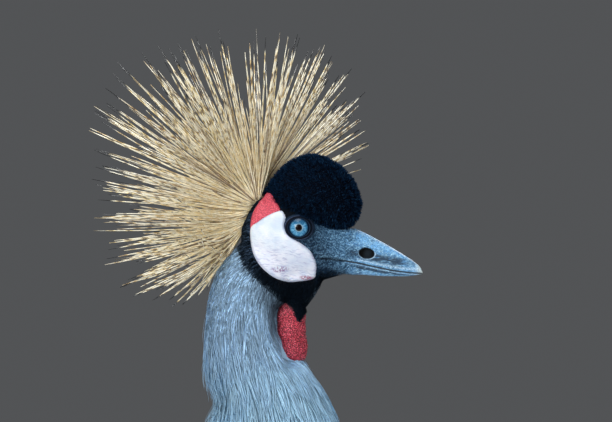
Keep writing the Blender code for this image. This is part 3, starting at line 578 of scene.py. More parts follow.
def makeSkin(material):
    sizes = skinSizes

    def neckDepth(t):
        return sizes["neckDepth"] + (sizes["bodyDepth"] - sizes["neckDepth"]) * ease(t, 0.3, 0.9)

    def swell(name):
        ahead, up, long, high, rise = sizes[name]
        return np.exp(-(((u - ahead) / long) ** 2 + ((w - up) / high) ** 2)) * rise

    head = fuse("skinHead", [
        shell(skull, 48, 64, sizes["headDepth"]),
        shell(throat, 24, 48, sizes["headDepth"] * 1.3),
        shell(neck, 60, 64, neckDepth, 0.0, sizes["split"]),
    ], sizes["headVoxel"], 10, material)
    places = corners(head)
    u, side, w = localParts(places)
    reach = eyeReach(u, w)
    floor = (eyeSurface(reach) - sizes["socketDepth"]) * mm
    sunk = (reach < sizes["socketRadius"]) & (np.abs(places[:, 1]) > 8 * mm)
    places[sunk, 1] = np.sign(places[sunk, 1]) * np.minimum(np.abs(places[sunk, 1]), floor[sunk])
    away = overMouth(u, w)
    groove = ease(u, 12, 18) * (1.1 * hump(away, 0, 0.9) - 0.5 * hump(away, 2.6, 1.2))
    shift = (swell("brow") + swell("jaw") + swell("hollow") - groove) * mm * ease(np.abs(side), 4, 9)
    places += cornerNormals(head) * shift[:, None]
    front = ease(u - np.interp(-w, *zip(*sizes["wattleBack"])), -8, 3)  # slim behind the wattle
    places[:, 1] *= 1 - 0.66 * front * ease(w, -110, -101) * (1 - ease(w, -62, -52))
    low, reach, depth = sizes["notch"]
    places[:, 0] += depth * mm * (hump(w, low, reach) * ease(-u, 40, 62))
    moveCorners(head, places)
    thighs = [shell(thigh, 32, 40, sizes["thighDepth"])]
    body = fuse("skinBody", [
        shell(neck, 30, 48, neckDepth, sizes["split"] - 0.04, 1.0),
        shell(torso, 48, 64, sizes["bodyDepth"]),
    ] + thighs + mirrored(thighs), sizes["bodyVoxel"], 6, material)
    merged = bmesh.new()
    merged.from_mesh(head.data)
    merged.from_mesh(body.data)
    bpy.data.objects.remove(body)
    merged.to_mesh(head.data)
    merged.free()
    head.name = "skin"
    places = corners(head)
    layer = head.data.color_attributes.new("tint", "FLOAT_COLOR", "POINT")
    tints = np.concatenate([markings(places), np.ones((len(places), 1))], 1)
    layer.data.foreach_set("color", tints.astype(np.float32).ravel())
    return head


# Where each feather of the coat points: down the nearest part of the body
class Lie:
    def __init__(self, forms):
        self.marks, self.headings, self.reaches, self.shares, self.blocks, self.ups = [], [], [], [], [], []
        t = np.linspace(0, 1, 26)
        for number, (form, mirror) in enumerate(forms):
            turn = np.array([1, -1, 1]) if mirror else np.ones(3)
            self.marks.append(form.middle(t) * turn)
            self.headings.append(form.along(t) * turn)
            self.ups.append(form.up(t) * turn)
            self.reaches.append(form.blend(t)[:, 2:4].mean(1))
            self.shares.append(t)
            self.blocks.append(np.full(len(t), number))
        self.count = len(forms)
        self.marks, self.headings, self.ups = (np.concatenate(g) for g in (self.marks, self.headings, self.ups))
        self.reaches, self.shares, self.blocks = (np.concatenate(g) for g in (self.reaches, self.shares, self.blocks))

    def near(self, places):
        apart = np.linalg.norm(places[:, None] - self.marks[None], axis=2)
        return apart / (self.reaches + 4 * mm)

    def field(self, places):
        weight = np.exp(-4.0 * self.near(places))
        return unit(weight @ self.headings)

    def flow(self, places, normals):  # along the surface
        heading = self.field(places)
        return unit(heading - normals * np.sum(heading * normals, 1, keepdims=True))

    # Each root's place on an unwrap of the skin: one upright block for each part of the body
    def unwrap(self, places):
        nearest = np.argmin(self.near(places), axis=1)
        offset = places - self.marks[nearest]
        up, ahead = self.ups[nearest], self.headings[nearest]
        across = np.cross(up, ahead)
        turn = np.arctan2(np.sum(offset * up, 1), np.sum(offset * across, 1)) / (2 * math.pi) + 0.5
        run = np.clip(self.shares[nearest] + np.sum(offset * ahead, 1) * 3, 0, 1)
        left = (self.blocks[nearest] + 0.03 + 0.94 * run) / self.count
        return np.stack([left, 0.02 + 0.96 * turn], 1)


lie = Lie([(skull, False), (throat, False), (neck, False), (torso, False), (thigh, False), (thigh, True)])


# The skin as something to scatter roots on and to lay feathers along
class Ground:
    def __init__(self, body):
        self.places = corners(body)
        self.normals = cornerNormals(body)
        body.data.calc_loop_triangles()
        tris = np.empty(len(body.data.loop_triangles) * 3, np.int32)
        body.data.loop_triangles.foreach_get("vertices", tris)
        self.tris = tris.reshape(-1, 3)
        a, b, c = (self.places[self.tris[:, k]] for k in range(3))
        self.areas = np.linalg.norm(np.cross(b - a, c - a), axis=1) / 2
        self.centres = (a + b + c) / 3
        self.tree = BVHTree.FromPolygons(self.places.tolist(), self.tris.tolist())

    def scatter(self, count, weight, chance):
        odds = self.areas * weight(self.centres)
        picked = chance.choice(len(odds), count, p=odds / odds.sum())
        a, b = chance.random((2, count))
        over = a + b > 1
        a, b = np.where(over, 1 - a, a)[:, None], np.where(over, 1 - b, b)[:, None]
        tri = self.tris[picked]
        places = sum(self.places[tri[:, k]] * s for k, s in enumerate((1 - a - b, a, b)))
        normals = unit(sum(self.normals[tri[:, k]] * s for k, s in enumerate((1 - a - b, a, b))))
        return places, normals

    # Drops roots that stand nearer together than the spacing
    def spread(self, count, weight, spacing, chance):
        places, normals = self.scatter(count, weight, chance)
        kept, grid = [], {}
        cells = np.floor(places / spacing).astype(int)
        for k, cell in enumerate(cells):
            around = [
                m for dx in (-1, 0, 1) for dy in (-1, 0, 1) for dz in (-1, 0, 1)
                for m in grid.get((cell[0] + dx, cell[1] + dy, cell[2] + dz), ())
            ]
            if all(np.sum((places[k] - places[m]) ** 2) > spacing**2 for m in around):
                kept.append(k)
                grid.setdefault(tuple(cell), []).append(k)
        return places[kept], normals[kept]

    def cling(self, places):
        found = [self.tree.find_nearest(place)[:2] for place in places.tolist()]
        return np.array([f[0] for f in found]), np.array([f[1] for f in found])

    # Centre lines that run over the skin from each root, and rise from it by a share of their length
    def paths(self, roots, normals, lengths, steps, rise, sink, swerve=None):
        here, facing = roots, normals
        line, out = [], []
        heights = np.interp(np.linspace(0, 1, steps), (0, 0.35, 1), (0, 0.6, 1))
        for k in range(steps):
            lift = rise * heights[k] * lengths - (sink if k == 0 else 0)
            line.append(here + facing * lift[:, None])
            out.append(facing)
            if k == steps - 1:
                break
            flow = lie.flow(here, facing)
            if swerve is not None:
                flow = unit(flow + np.cross(facing, flow) * swerve[:, None])
            ahead = here + flow * (lengths / (steps - 1))[:, None]
            here, found = self.cling(ahead)
            facing = unit(facing * 0.5 + found * 0.5)
        return np.stack(line, 1), np.stack(out, 1)


# Draws the ends of neighbouring feathers together, so that they hang in locks
def gathered(lines, many, pull, chance):
    leaders = lines[chance.choice(len(lines), len(lines) // many, replace=False)]
    tree = KDTree(len(leaders))
    for k, root in enumerate(leaders[:, 0].tolist()):
        tree.insert(root, k)
    tree.balance()
    leader = leaders[[tree.find(root)[1] for root in lines[:, 0].tolist()]]
    share = np.linspace(0, 1, lines.shape[1])[None, :, None] ** 1.5
    return lines + (leader - lines) * share * pull


thinSection = np.array([(-1, 0.0), (0, -0.4), (1, 0.0), (0, 1.0)])
vaneSection = np.array([
    (-1, -0.1), (-0.5, 0.1), (0, -0.25), (0.5, 0.1), (1, -0.1), (0.5, 0.75), (0, 1.0), (-0.5, 0.75),
])
hairSection = np.array([(-1, 0.0), (0.0, -0.5), (1, 0.0)])
bakePatch = 0.003  # across each feather's patch of the map OFBake


# Solid tapered vanes along centre lines. Each keeps its root's patch of the unwrap in the map OFBake.
def growVanes(name, lines, facing, halfWidth, thick, outline, section, tints, rootUv, material, chance):
    count, steps = lines.shape[:2]
    sides = len(section)
    heading = np.gradient(lines, axis=1)
    across = unit(np.cross(facing, heading))
    rise = unit(np.cross(heading, across))
    share = np.linspace(0, 1, steps)
    width = halfWidth[:, None] * np.interp(share, *zip(*outline))[None]
    height = thick[:, None] * np.interp(share, (0, 0.8, 1), (1, 0.7, 0.15))[None]
    places = (
        lines[:, :, None]
        + across[:, :, None] * (width[:, :, None] * section[:, 0])[..., None]
        + rise[:, :, None] * (height[:, :, None] * section[:, 1])[..., None]
    )
    block = np.arange(count)[:, None, None] * (steps * sides)
    quads = (tubeFaces(steps, sides)[None] + block).reshape(-1, 4)
    ring = np.arange(sides)
    ends = np.stack([ring[::-1], (steps - 1) * sides + ring])
    caps = (ends[None] + block).reshape(-1, sides)
    body = makeBody(name, places.reshape(-1, 3), [quads, caps], material)
    own = chance.random(count)
    vane = np.empty((count, steps, sides, 3))
    vane[..., 0] = section[:, 0]
    vane[..., 1] = share[None, :, None]
    vane[..., 2] = own[:, None, None]
    keepNumber(body, "vane", vane.reshape(-1, 3))
    if tints.ndim == 2:
        tints = np.repeat(tints[:, None], steps, 1)
    shades = np.ones((count, steps, sides, 4))
    shades[..., :3] = tints[:, :, None]
    layer = body.data.color_attributes.new("tint", "FLOAT_COLOR", "POINT")
    layer.data.foreach_set("color", shades.astype(np.float32).ravel())
    patch = np.empty((count, steps, sides, 2))
    patch[..., 0] = rootUv[:, 0, None, None] + section[:, 0] * (bakePatch / 2)
    patch[..., 1] = rootUv[:, 1, None, None] + (share[None, :, None] - 0.5) * bakePatch
    used = np.empty(len(body.data.loops), np.int32)
    body.data.loops.foreach_get("vertex_index", used)
    unwrap = body.data.uv_layers.new(name="OFBake")
    unwrap.data.foreach_set("uv", patch.reshape(-1, 2)[used].astype(np.float32).ravel())
    return body


# One finish for every kind of feather: barbs run out from the shaft, and each feather differs a little
def featherPaint(name, streak=0.35, shaft=0.0, tip=(0.5, 0.5, 0.5), tipShare=0.0, rough=0.62, barbs=26.0, gloss=0.15):
    paint = Paint(name, Specular_IOR_Level=gloss)
    across, along, own = paint.apart(paint.attribute("vane", "Vector"))
    tint = paint.attribute("tint", "Color")
    folded = across.maths("ABSOLUTE")
    slant = along * barbs - folded * (barbs * 0.16)
    spread = paint.node("ShaderNodeCombineXYZ", {}, {0: slant, 1: across * 1.3, 2: own * 37.0})
    threads = paint.noise(1.0, 2.0, spread)
    shade = paint.ramp(threads, ((0.30, (0.25,) * 3), (0.50, (0.95,) * 3), (0.72, (1.5,) * 3)))
    tinted = paint.mix(streak, tint, paint.mix(1.0, tint, shade, "MULTIPLY"))
    if tipShare:
        tinted = paint.mix((along ** 2.5) * tipShare * (0.35 + own * 1.3), tinted, tip)
    if shaft:
        tinted = paint.mix((1 - folded.smooth(0.02, 0.14)) * shaft, tinted, (0.02, 0.018, 0.016))
    paint.colour(tinted)
    paint.rough(rough + 0.25 * (threads - 0.5))
    paint.bump(threads, 0.35, 0.0006)
    return paint.material


def steady(weight):
    return lambda places: np.maximum(weight(places), 0)


# Short feathers of the face: slate bristles on the lores, black down behind the cheek and on the throat
faceSizes = {
    "bristles": 10500,
    "bristleLength": 1.25 * mm,
    "bristleHalfWidth": 0.23 * mm,
    "bristleThick": 0.16 * mm,
    "onHorn": 2000,  # bristles that thin out over the bill's base
    "down": 8300,
    "wattleDown": 1500,
    "downLength": 5.0 * mm,
    "downHalfWidth": 0.42 * mm,
    "downThick": 0.25 * mm,
    "eyeClear": 10.2,  # bare skin round the eye
    "mouthClear": 1.0,
    "seed": 11,
}


def clearOfCheeks(places):
    return (inside("white", places) < 0) & (inside("red", places) < 0)


def faceWeight(places):
    u, side, w = localParts(places)
    eye = eyeReach(u, w) > faceSizes["eyeClear"]
    mouth = (np.abs(overMouth(u, w)) > faceSizes["mouthClear"]) | (u < 14)
    cap = (w < 12 + 0.1 * np.abs(u)) | (np.abs(side) > 17)
    dense = ease(-u, -39, -28) * 0.8 + 0.2
    return (u > -16) * (u < 37) * (w > -44) * eye * mouth * cap * clearOfCheeks(places) * dense


def hornWeight(places):
    u, _, w = localParts(places)
    away = np.abs(overMouth(u, w)) > 1.6
    return (u > 33.5) * away * (1 - ease(u + 3 * np.sin(w * 0.9), 34, 45))


def downWeight(places):
    depth = inside("black", places)
    return ease(depth, -1.5, 1.0) * clearOfCheeks(places)


def makeBristles(name, ground, count, weight, paint, chance):
    sizes = faceSizes
    roots, normals = ground.scatter(count, steady(weight), chance)
    ahead = -1.0 if weight is hornWeight else 1.0
    flow = unit(lie.flow(roots, normals) * ahead + 0.25 * chance.normal(size=(count, 3)))
    _, _, w = localParts(roots)
    lengths = sizes["bristleLength"] * chance.uniform(0.7, 1.3, count) * (1 + 0.5 * ease(-w, 30, 42))
    lean = unit(flow + normals * 0.35)
    line = np.stack([roots - normals * 0.2 * mm, roots + lean * (lengths * 0.5)[:, None],
                     roots + lean * lengths[:, None] * 0.9 + flow * (lengths * 0.15)[:, None]], 1)
    facing = np.repeat(normals[:, None], 3, 1)
    tints = markings(roots, chance.random(count))
    bristles = growVanes(name, line, facing, np.full(count, sizes["bristleHalfWidth"]),
                         np.full(count, sizes["bristleThick"]), ((0, 1), (0.5, 0.9), (1, 0.12)), hairSection,
                         tints, lie.unwrap(roots), paint, chance)
    settle(bristles, slot="face_feathers")


def makeDown(name, ground, count, paint, chance):
    sizes = faceSizes
    roots, normals = ground.scatter(count, steady(downWeight), chance)
    _, _, w = localParts(roots)
    lengths = sizes["downLength"] * chance.uniform(0.6, 1.15, count) * (1 + 0.7 * ease(-w, 44, 58))
    lengths = np.minimum(lengths, (2.2 + np.maximum(inside("black", roots), 0) * 1.2) * mm)
    line, facing = ground.paths(roots, normals, lengths, 4, 0.20, 0.4 * mm, chance.normal(0, 0.25, count))
    tints = markings(roots, chance.random(count))
    down = growVanes(name, line, facing, sizes["downHalfWidth"] * chance.uniform(0.7, 1.2, count),
                     np.full(count, sizes["downThick"]), ((0, 0.8), (0.4, 1), (1, 0.1)), hairSection, tints,
                     lie.unwrap(roots), paint, chance)
    settle(down, slot="face_feathers")


def makeFace(ground, wattleGround, hornGrounds):
    sizes = faceSizes
    chance = np.random.default_rng(sizes["seed"])
    paint = featherPaint("faceFeathers", streak=0.5, rough=0.6, gloss=0.12)
    makeBristles("faceBristles", ground, sizes["bristles"], faceWeight, paint, chance)
    for number, horn in enumerate(hornGrounds):
        makeBristles(f"hornBristles{number + 1}", horn, sizes["onHorn"] // (number + 1), hornWeight, paint, chance)
    soft = featherPaint("blackDown", streak=0.5, tip=(0.010, 0.020, 0.034), tipShare=0.4, rough=0.8, gloss=0.03)
    makeDown("blackDown", ground, sizes["down"], soft, chance)
    makeDown("wattleDown", wattleGround, sizes["wattleDown"], soft, chance)


# Bare skin of the cheeks: a raised patch laid over the skin and the cap, that dips under the feathers at its edge
cheekSizes = {
    "step": 0.6,
    "rise": 1.5,
    "dip": 0.9,
    "shoulder": 2.0,
    "hidden": 1.7,  # how far it goes on under the feathers
    "calm": 6,
    "wall": 1.4 * mm,
}


def cheekPatch(name, outline, trees, material, rise=1.0):
    sizes = cheekSizes
    line = rounded(outlines[outline])
    across = [np.arange(line[:, k].min() - 2, line[:, k].max() + 2, sizes["step"]) for k in (0, 1)]
    u, w = np.meshgrid(*across, indexing="ij")
    flat = np.stack([u, 0 * u, w], -1) * mm + headAt
    depth = inside(outline, flat)
    swell = np.where(depth > 0, rise * sizes["rise"] * np.sin(np.clip(depth / sizes["shoulder"], 0, 1) * math.pi / 2),
                     depth * sizes["dip"])
    places, faces, depths, count = [], [], [], 0
    for side in (1, -1):
        out = np.full(u.shape, np.nan)
        for i, j in np.argwhere(depth > -sizes["hidden"]):
            start = Vector(flat[i, j]) + Vector((0, side * 0.06, 0))
            hits = [tree.ray_cast(start, Vector((0, -side, 0)))[0] for tree in trees]
            out[i, j] = max([hit.y * side / mm for hit in hits if hit] or [0])
        out[~(out > 2)] = np.nan
        known = ~np.isnan(out)
        for _ in range(sizes["calm"]):
            spread = [np.roll(out, shift, axis) for shift in (-1, 1) for axis in (0, 1)]
            calm = np.nanmean(np.stack([out] + spread), axis=0)
            out = np.where(known, calm, np.nan)
        slopeU, slopeW = (np.nan_to_num(slope) for slope in np.gradient(out, sizes["step"]))
        normal = unit(np.stack([-slopeU, np.ones_like(out), -slopeW], -1))
        place = np.stack([u, out, w], -1) + normal * swell[..., None]
        number = np.where(known, np.cumsum(known.ravel()).reshape(known.shape) - 1 + count, -1)
        quad = np.stack([number[:-1, :-1], number[1:, :-1], number[1:, 1:], number[:-1, 1:]], -1).reshape(-1, 4)
        quad = quad[(quad >= 0).all(1)]
        faces.append(quad if side < 0 else quad[:, ::-1])
        places.append(place[known] * (1, side, 1))
        depths.append(depth[known])
        count += known.sum()
    patch = makeBody(name, np.concatenate(places) * mm + headAt, [np.concatenate(faces)], material)
    keepNumber(patch, "depth", np.concatenate(depths))
    loose = bmesh.new()
    loose.from_mesh(patch.data)
    bmesh.ops.delete(loose, geom=[v for v in loose.verts if not v.link_faces], context="VERTS")
    loose.to_mesh(patch.data)
    loose.free()
    wall = patch.modifiers.new("wall", "SOLIDIFY")
    wall.thickness = sizes["wall"]
    wall.offset = -1
    return baked(patch)


def whiteSkinPaint():
    paint = Paint("cheekSkin", Subsurface_Weight=0.08, Subsurface_Scale=0.002, Specular_IOR_Level=0.25)
    head = paint.headPlace()
    u, _, w = paint.apart(head)
    wander = paint.noise(0.16, 2.0, head)
    folds = paint.node("ShaderNodeCombineXYZ", {}, {0: u * 0.14, 1: 0.0, 2: (w + wander * 5.0 + u * 0.12) * 0.95})
    lines = paint.noise(1.0, 3.0, folds)
    low = 1 - w.smooth(-24.0, -2.0)
    soft = paint.ramp(paint.noise(0.09, 3.0, head), ((0.36, (0.58, 0.66, 0.76)), (0.60, (0.76, 0.79, 0.84))))
    # A bluish-grey spot behind and a little above the eye: painted shadow of the ridge over the patch.
    hollow = ((u + 15.0) * 0.16) ** 2.0 + ((w - 3.0) * 0.13) ** 2.0
    soft = paint.mix((1 - hollow.smooth(0.1, 1.3)) * 0.5, soft, (0.46, 0.56, 0.70))
    soft = paint.mix(low * 0.30, soft, (0.62, 0.58, 0.72))
    stainPlace = ((u + 14.5) * 0.13) ** 2.0 + ((w + 31.5) * 0.36) ** 2.0
    stain = (1 - stainPlace.smooth(0.15, 1.2)) * paint.noise(0.9, 4.0, head).smooth(0.44, 0.56)
    rimPlace = ((u - 7.0) * 0.14) ** 2.0 + ((w + 37.6 + u * 0.12) * 0.42) ** 2.0
    rim = (1 - rimPlace.smooth(0.10, 1.2)) * paint.noise(0.8, 3.0, head).smooth(0.36, 0.54)
    edge = 1 - paint.attribute("depth").smooth(0.2, 2.4)
    tinted = paint.mix(stain * 0.85, soft, (0.22, 0.08, 0.22))
    tinted = paint.mix(rim * 0.9, tinted, (0.26, 0.020, 0.070))
    tinted = paint.mix(edge * 0.45, tinted, (0.34, 0.38, 0.52))
    # The grooves of the fine folds, most in the lower half, are painted darker: painted shade in the creases.
    tinted = paint.mix((1 - lines.smooth(0.36, 0.50)) * (0.08 + low * 0.50), tinted, (0.30, 0.32, 0.52))
    paint.colour(tinted)
    paint.rough(0.45 + 0.2 * lines)
    paint.bump(lines * (0.25 + 0.75 * low) + 0.30 * paint.cells(1.3, head), 0.8, 0.0007)
    return paint.material


def redSkinPaint(name):
    paint = Paint(name, Subsurface_Weight=0.06, Subsurface_Scale=0.002, Specular_IOR_Level=0.5)
    head = paint.headPlace()
    u, _, w = paint.apart(head)
    bumps = paint.cells(1.1, head)
    patches = paint.noise(0.16, 3.0, head)
    high = w.smooth(-45.0, -20.0)
    reds = ((0.3, (0.60, 0.030, 0.065)), (0.5, (0.84, 0.062, 0.115)), (0.7, (0.95, 0.140, 0.200)))
    tinted = paint.ramp(patches, reds)
    tinted = paint.mix(high * 0.75, tinted, (0.84, 0.085, 0.140))
    # Dark between the grains, less on the upper patch: painted shade in the crevices.
    tinted = paint.mix(bumps.smooth(0.30, 0.62) * (0.90 - high * 0.45), tinted, (0.10, 0.003, 0.009))
    throat = u.smooth(-10.0, -5.0) * w.smooth(-63.0, -58.0) * (1 - w.smooth(-45.0, -40.0))
    # The middle of each grain is paler pink: painted highlight on the grains' tops.
    tinted = paint.mix((1 - bumps.smooth(0.14, 0.34)) * 0.75, tinted, (1.0, 0.27, 0.32))
    # Darker at the top of the wattle, under the throat: painted shade of the throat feathers over it.
    tinted = paint.mix(w.smooth(-68.0, -55.0) * (1 - w.smooth(-45.0, -40.0)) * 0.75, tinted, (0.05, 0.004, 0.010))
    tinted = paint.mix(throat, tinted, (0.002, 0.003, 0.006))
    paint.colour(tinted)
    paint.rough(0.22 + 0.35 * bumps)
    paint.bump(1 - bumps, 0.8, 0.0007)
    return paint.material


# Pebbles of bare red skin: flattened grains set all over a surface
pebbleSizes = {"Spacing": 1.0 * mm, "Grain": 0.60 * mm, "Flatness": 0.75, "Seed": 3}
wattleSizes = {"depth": -0.3 * mm, "voxel": 0.9 * mm, "fold": 0.25 * mm}


def pebbleTree(material, sizes):
    tree = bpy.data.node_groups.new("pebbles", "GeometryNodeTree")
    tree.is_modifier = True
    face = tree.interface
    face.new_socket("Geometry", in_out="INPUT", socket_type="NodeSocketGeometry")
    for name in sizes:
        kind = "NodeSocketInt" if name == "Seed" else "NodeSocketFloat"
        face.new_socket(name, in_out="INPUT", socket_type=kind)
    face.new_socket("Geometry", in_out="OUTPUT", socket_type="NodeSocketGeometry")
    new = tree.nodes.new
    start, end = new("NodeGroupInput"), new("NodeGroupOutput")
    points = new("GeometryNodeDistributePointsOnFaces")
    points.distribute_method = "POISSON"
    points.inputs["Density Max"].default_value = 4e6  # more than fit, so that the spacing counts
    grain = new("GeometryNodeMeshIcoSphere")
    grain.inputs["Subdivisions"].default_value = 1
    shape = new("ShaderNodeCombineXYZ")
    shape.inputs[0].default_value = shape.inputs[1].default_value = 1.0
    squash = new("GeometryNodeTransform")
    put = new("GeometryNodeInstanceOnPoints")
    vary = new("FunctionNodeRandomValue")
    vary.inputs[2].default_value, vary.inputs[3].default_value = 0.7, 1.25
    both = new("GeometryNodeJoinGeometry")
    real = new("GeometryNodeRealizeInstances")
    soft = new("GeometryNodeSetShadeSmooth")
    dress = new("GeometryNodeSetMaterial")
    dress.inputs["Material"].default_value = material
    for source, out, target, into in (
        (start, "Geometry", points, "Mesh"), (start, "Spacing", points, "Distance Min"),
        (start, "Seed", points, "Seed"), (start, "Seed", vary, "Seed"), (start, "Grain", grain, "Radius"),
        (start, "Flatness", shape, 2), (grain, "Mesh", squash, "Geometry"), (shape, 0, squash, "Scale"),
        (points, "Points", put, "Points"), (points, "Rotation", put, "Rotation"), (squash, 0, put, "Instance"),
        (vary, 1, put, "Scale"), (start, "Geometry", both, 0), (put, 0, both, 0), (both, 0, real, 0),
        (real, 0, soft, 0), (soft, 0, dress, 0), (dress, 0, end, 0),
    ):
        tree.links.new(source.outputs[out], target.inputs[into])
    return tree


def withTree(body, tree, values):
    modifier = body.modifiers.new(tree.name, "NODES")
    modifier.node_group = tree
    for item in tree.interface.items_tree:
        if item.in_out == "INPUT" and item.name in values:
            modifier[item.identifier] = values[item.name]
    return baked(body)


def makeBareSkin(trees):
    white = cheekPatch("cheekWhite", "white", trees, whiteSkinPaint())
    settle(white, "cheek_white_left", "cheek_white_right", slot="cheek_white")
    redSkin = redSkinPaint("redSkin")
    red = cheekPatch("cheekRed", "red", trees, redSkin, 0.75)
    settle(red, "cheek_red_left", "cheek_red_right", slot="red_skin")
    sizes = wattleSizes
    lobes = [shell(lobe, 30, 40, sizes["depth"]) for lobe in (wattleUpper, wattleLower)]
    wattle = fuse("wattleSkin", lobes, sizes["voxel"], 4, redSkin)
    places = corners(wattle)
    u, _, w = localParts(places)
    fold = np.sin(w * 0.55 + 0.8 * np.sin(u * 0.35)) * sizes["fold"]
    moveCorners(wattle, places + cornerNormals(wattle) * fold[:, None])
    smoothGround = Ground(wattle)
    withTree(wattle, pebbleTree(redSkin, pebbleSizes), pebbleSizes)
    settle(wattle, "wattle", slot="red_skin")
    return smoothGround


# Eyes: a glossy ball each, with the iris and pupil painted by distance from its centre
eyeSizes = {"ballRadius": 10.5, "ballOut": 12.2, "iris": 7.1, "pupil": 2.5, "cornea": 0.45}


def eyePaint():
    sizes = eyeSizes
    paint = Paint("eyeball", Roughness=0.25, Coat_Weight=0.35, Coat_Roughness=0.03, Specular_IOR_Level=0.1)
    u, _, w = paint.apart(paint.headPlace())
    reach = (u * u + w * w) ** 0.5
    angle = w.maths("ARCTAN2", u)
    ray = paint.node("ShaderNodeCombineXYZ", {}, {
        0: angle.maths("COSINE") * 5.0, 1: angle.maths("SINE") * 5.0, 2: reach * 0.22,
    })
    rays = paint.noise(1.6, 3.0, ray)
    blue = paint.ramp(rays, ((0.32, (0.010, 0.08, 0.20)), (0.50, (0.034, 0.20, 0.38)), (0.68, (0.18, 0.44, 0.64))))
    inner = 1 - reach.smooth(sizes["pupil"] + 0.2, sizes["pupil"] + 1.3)
    iris = paint.mix(inner * 0.75, blue, (0.20, 0.30, 0.34))
    # Darker towards the top of the iris: painted shadow of the upper lid.
    iris = paint.mix(w.smooth(0.5, 6.5) * 0.85, iris, (0.006, 0.035, 0.085))
    iris = paint.mix(reach.smooth(sizes["iris"] - 1.5, sizes["iris"] + 0.1), iris, (0.004, 0.012, 0.030))
    tinted = paint.mix(1 - reach.smooth(sizes["pupil"] - 0.15, sizes["pupil"] + 0.15), iris, (0.004, 0.001, 0.001))
    paint.colour(tinted)
    return paint.material


def makeEyes():
    sizes = eyeSizes
    material = eyePaint()
    for name, side in (("eye_left", 1), ("eye_right", -1)):
        lat, lon = np.meshgrid(np.linspace(0.02, math.pi - 0.02, 40), np.arange(64) * 2 * math.pi / 64, indexing="ij")
        reach = sizes["ballRadius"] * np.sin(lat)
        dome = sizes["cornea"] * np.clip(1 - (reach / (sizes["iris"] + 0.4)) ** 2, 0, 1) * (lat < 1.5)
        out = sizes["ballOut"] + sizes["ballRadius"] * np.cos(lat) + dome
        rows = np.stack([reach * np.cos(lon), side * out, reach * np.sin(lon)], -1) * mm + headAt
        places, quads, ends = tube(rows)
        ball = outwards(makeBody(name.replace("eye_", "eyeball_"), places, [quads, ends], material))
        settle(ball, name, slot="eye")


# Lids: a fold of skin round each eye, with a thin pale edge against the ball
lidSizes = {
    "inner": 7.5,
    "outer": 12.0,
    "wide": 1.05,
    "tall": 0.93,
    "folds": ((0.22, 0.13, 0.75), (0.62, 0.16, 0.42)),  # how far out, reach and height
    "overBall": 0.15,
    "farSkin": 19.0,  # where the ray meets no skin
    "rings": 96,
    "across": 15,
}


def lidPaint():
    paint = Paint("lidSkin", Roughness=0.6, Specular_IOR_Level=0.08)
    share = paint.attribute("lid")
    grain = paint.noise(1.2, 3.0, paint.headPlace())
    # The pale lines between the dark rings are partly the lid's own pale edge and fold lines, partly painted highlight
    # along the folds.
    rings = paint.ramp(share, (
        (0.0, (0.001, 0.002, 0.004)), (0.10, (0.020, 0.040, 0.080)), (0.17, (0.001, 0.002, 0.005)),
        (0.46, (0.002, 0.004, 0.010)), (0.55, (0.060, 0.085, 0.160)), (0.63, (0.002, 0.005, 0.012)),
        (0.80, (0.018, 0.040, 0.075)), (0.88, (0.004, 0.010, 0.022)), (1.0, (0.010, 0.028, 0.055)),
    ))
    paint.colour(paint.mix(grain.smooth(0.45, 0.7) * 0.6, rings, (0.002, 0.005, 0.010)))
    paint.bump(grain, 0.8, 0.0006)
    return paint.material


def makeLids(ground):
    sizes = lidSizes
    material = lidPaint()
    rings = sizes["rings"]
    profile = np.linspace(0, 1, sizes["across"])
    for name, side in (("lid_left", 1), ("lid_right", -1)):
        rows, shares = [], []
        for turn in np.arange(rings) * 2 * math.pi / rings:
            row = []
            stretch = np.array([math.cos(turn) * sizes["wide"], math.sin(turn) * sizes["tall"]])
            rim = sizes["outer"] + 0.5 * math.cos(2 * turn)
            far = np.array([headAt[0] + stretch[0] * rim * mm, side * 0.05, headAt[2] + stretch[1] * rim * mm])
            hit = ground.tree.ray_cast(Vector(far), Vector((0, -side, 0)))[0]
            skinOut = abs(hit.y) / mm if hit else sizes["farSkin"]
            for share in profile:
                reach = sizes["inner"] + (rim - sizes["inner"]) * share
                ballOut = eyeSurface(math.hypot(*(stretch * reach)))
                lip = max(eyeSurface(sizes["inner"]), ballOut) + sizes["overBall"]
                out = lip + (skinOut - lip) * ease(share, 0.12, 1.0)
                out += sum(height * hump(share, middle, wide) for middle, wide, height in sizes["folds"])
                if share == 0:
                    out = ballOut - 0.5
                if share == 1:
                    out = skinOut - 0.5
                row.append((stretch[0] * reach, side * out, stretch[1] * reach))
            row.append((stretch[0] * rim * 0.97, side * (skinOut - 2.5), stretch[1] * rim * 0.97))
            row.append((stretch[0] * sizes["inner"], side * (lip - 3.5), stretch[1] * sizes["inner"]))
            rows.append(row)
            shares.append(np.concatenate([profile, [1, 0]]))
        rows = np.array(rows) * mm + headAt
        sides = rows.shape[1]
        k, j = np.meshgrid(np.arange(rings), np.arange(sides), indexing="ij")
        m, n = (k + 1) % rings, (j + 1) % sides
        quads = np.stack([k * sides + j, k * sides + n, m * sides + n, m * sides + j], -1).reshape(-1, 4)
        lid = makeBody(name, rows.reshape(-1, 3), [quads], material)
        keepNumber(lid, "lid", np.array(shares).ravel())
        settle(outwards(lid), slot="face_feathers")


# Bill: two halves of horn that meet along the mouth line
billSizes = {
    "nostril": (51.4, -19.4, 6.9, 4.7, -0.16),  # place, half sizes and tilt
    "nostrilDepth": 5.2,
    "gap": 0.25,
    "rings": 132,
    "arc": 90,  # places round each half of a ring
    "inner": 10,  # places along its closed inner side
}


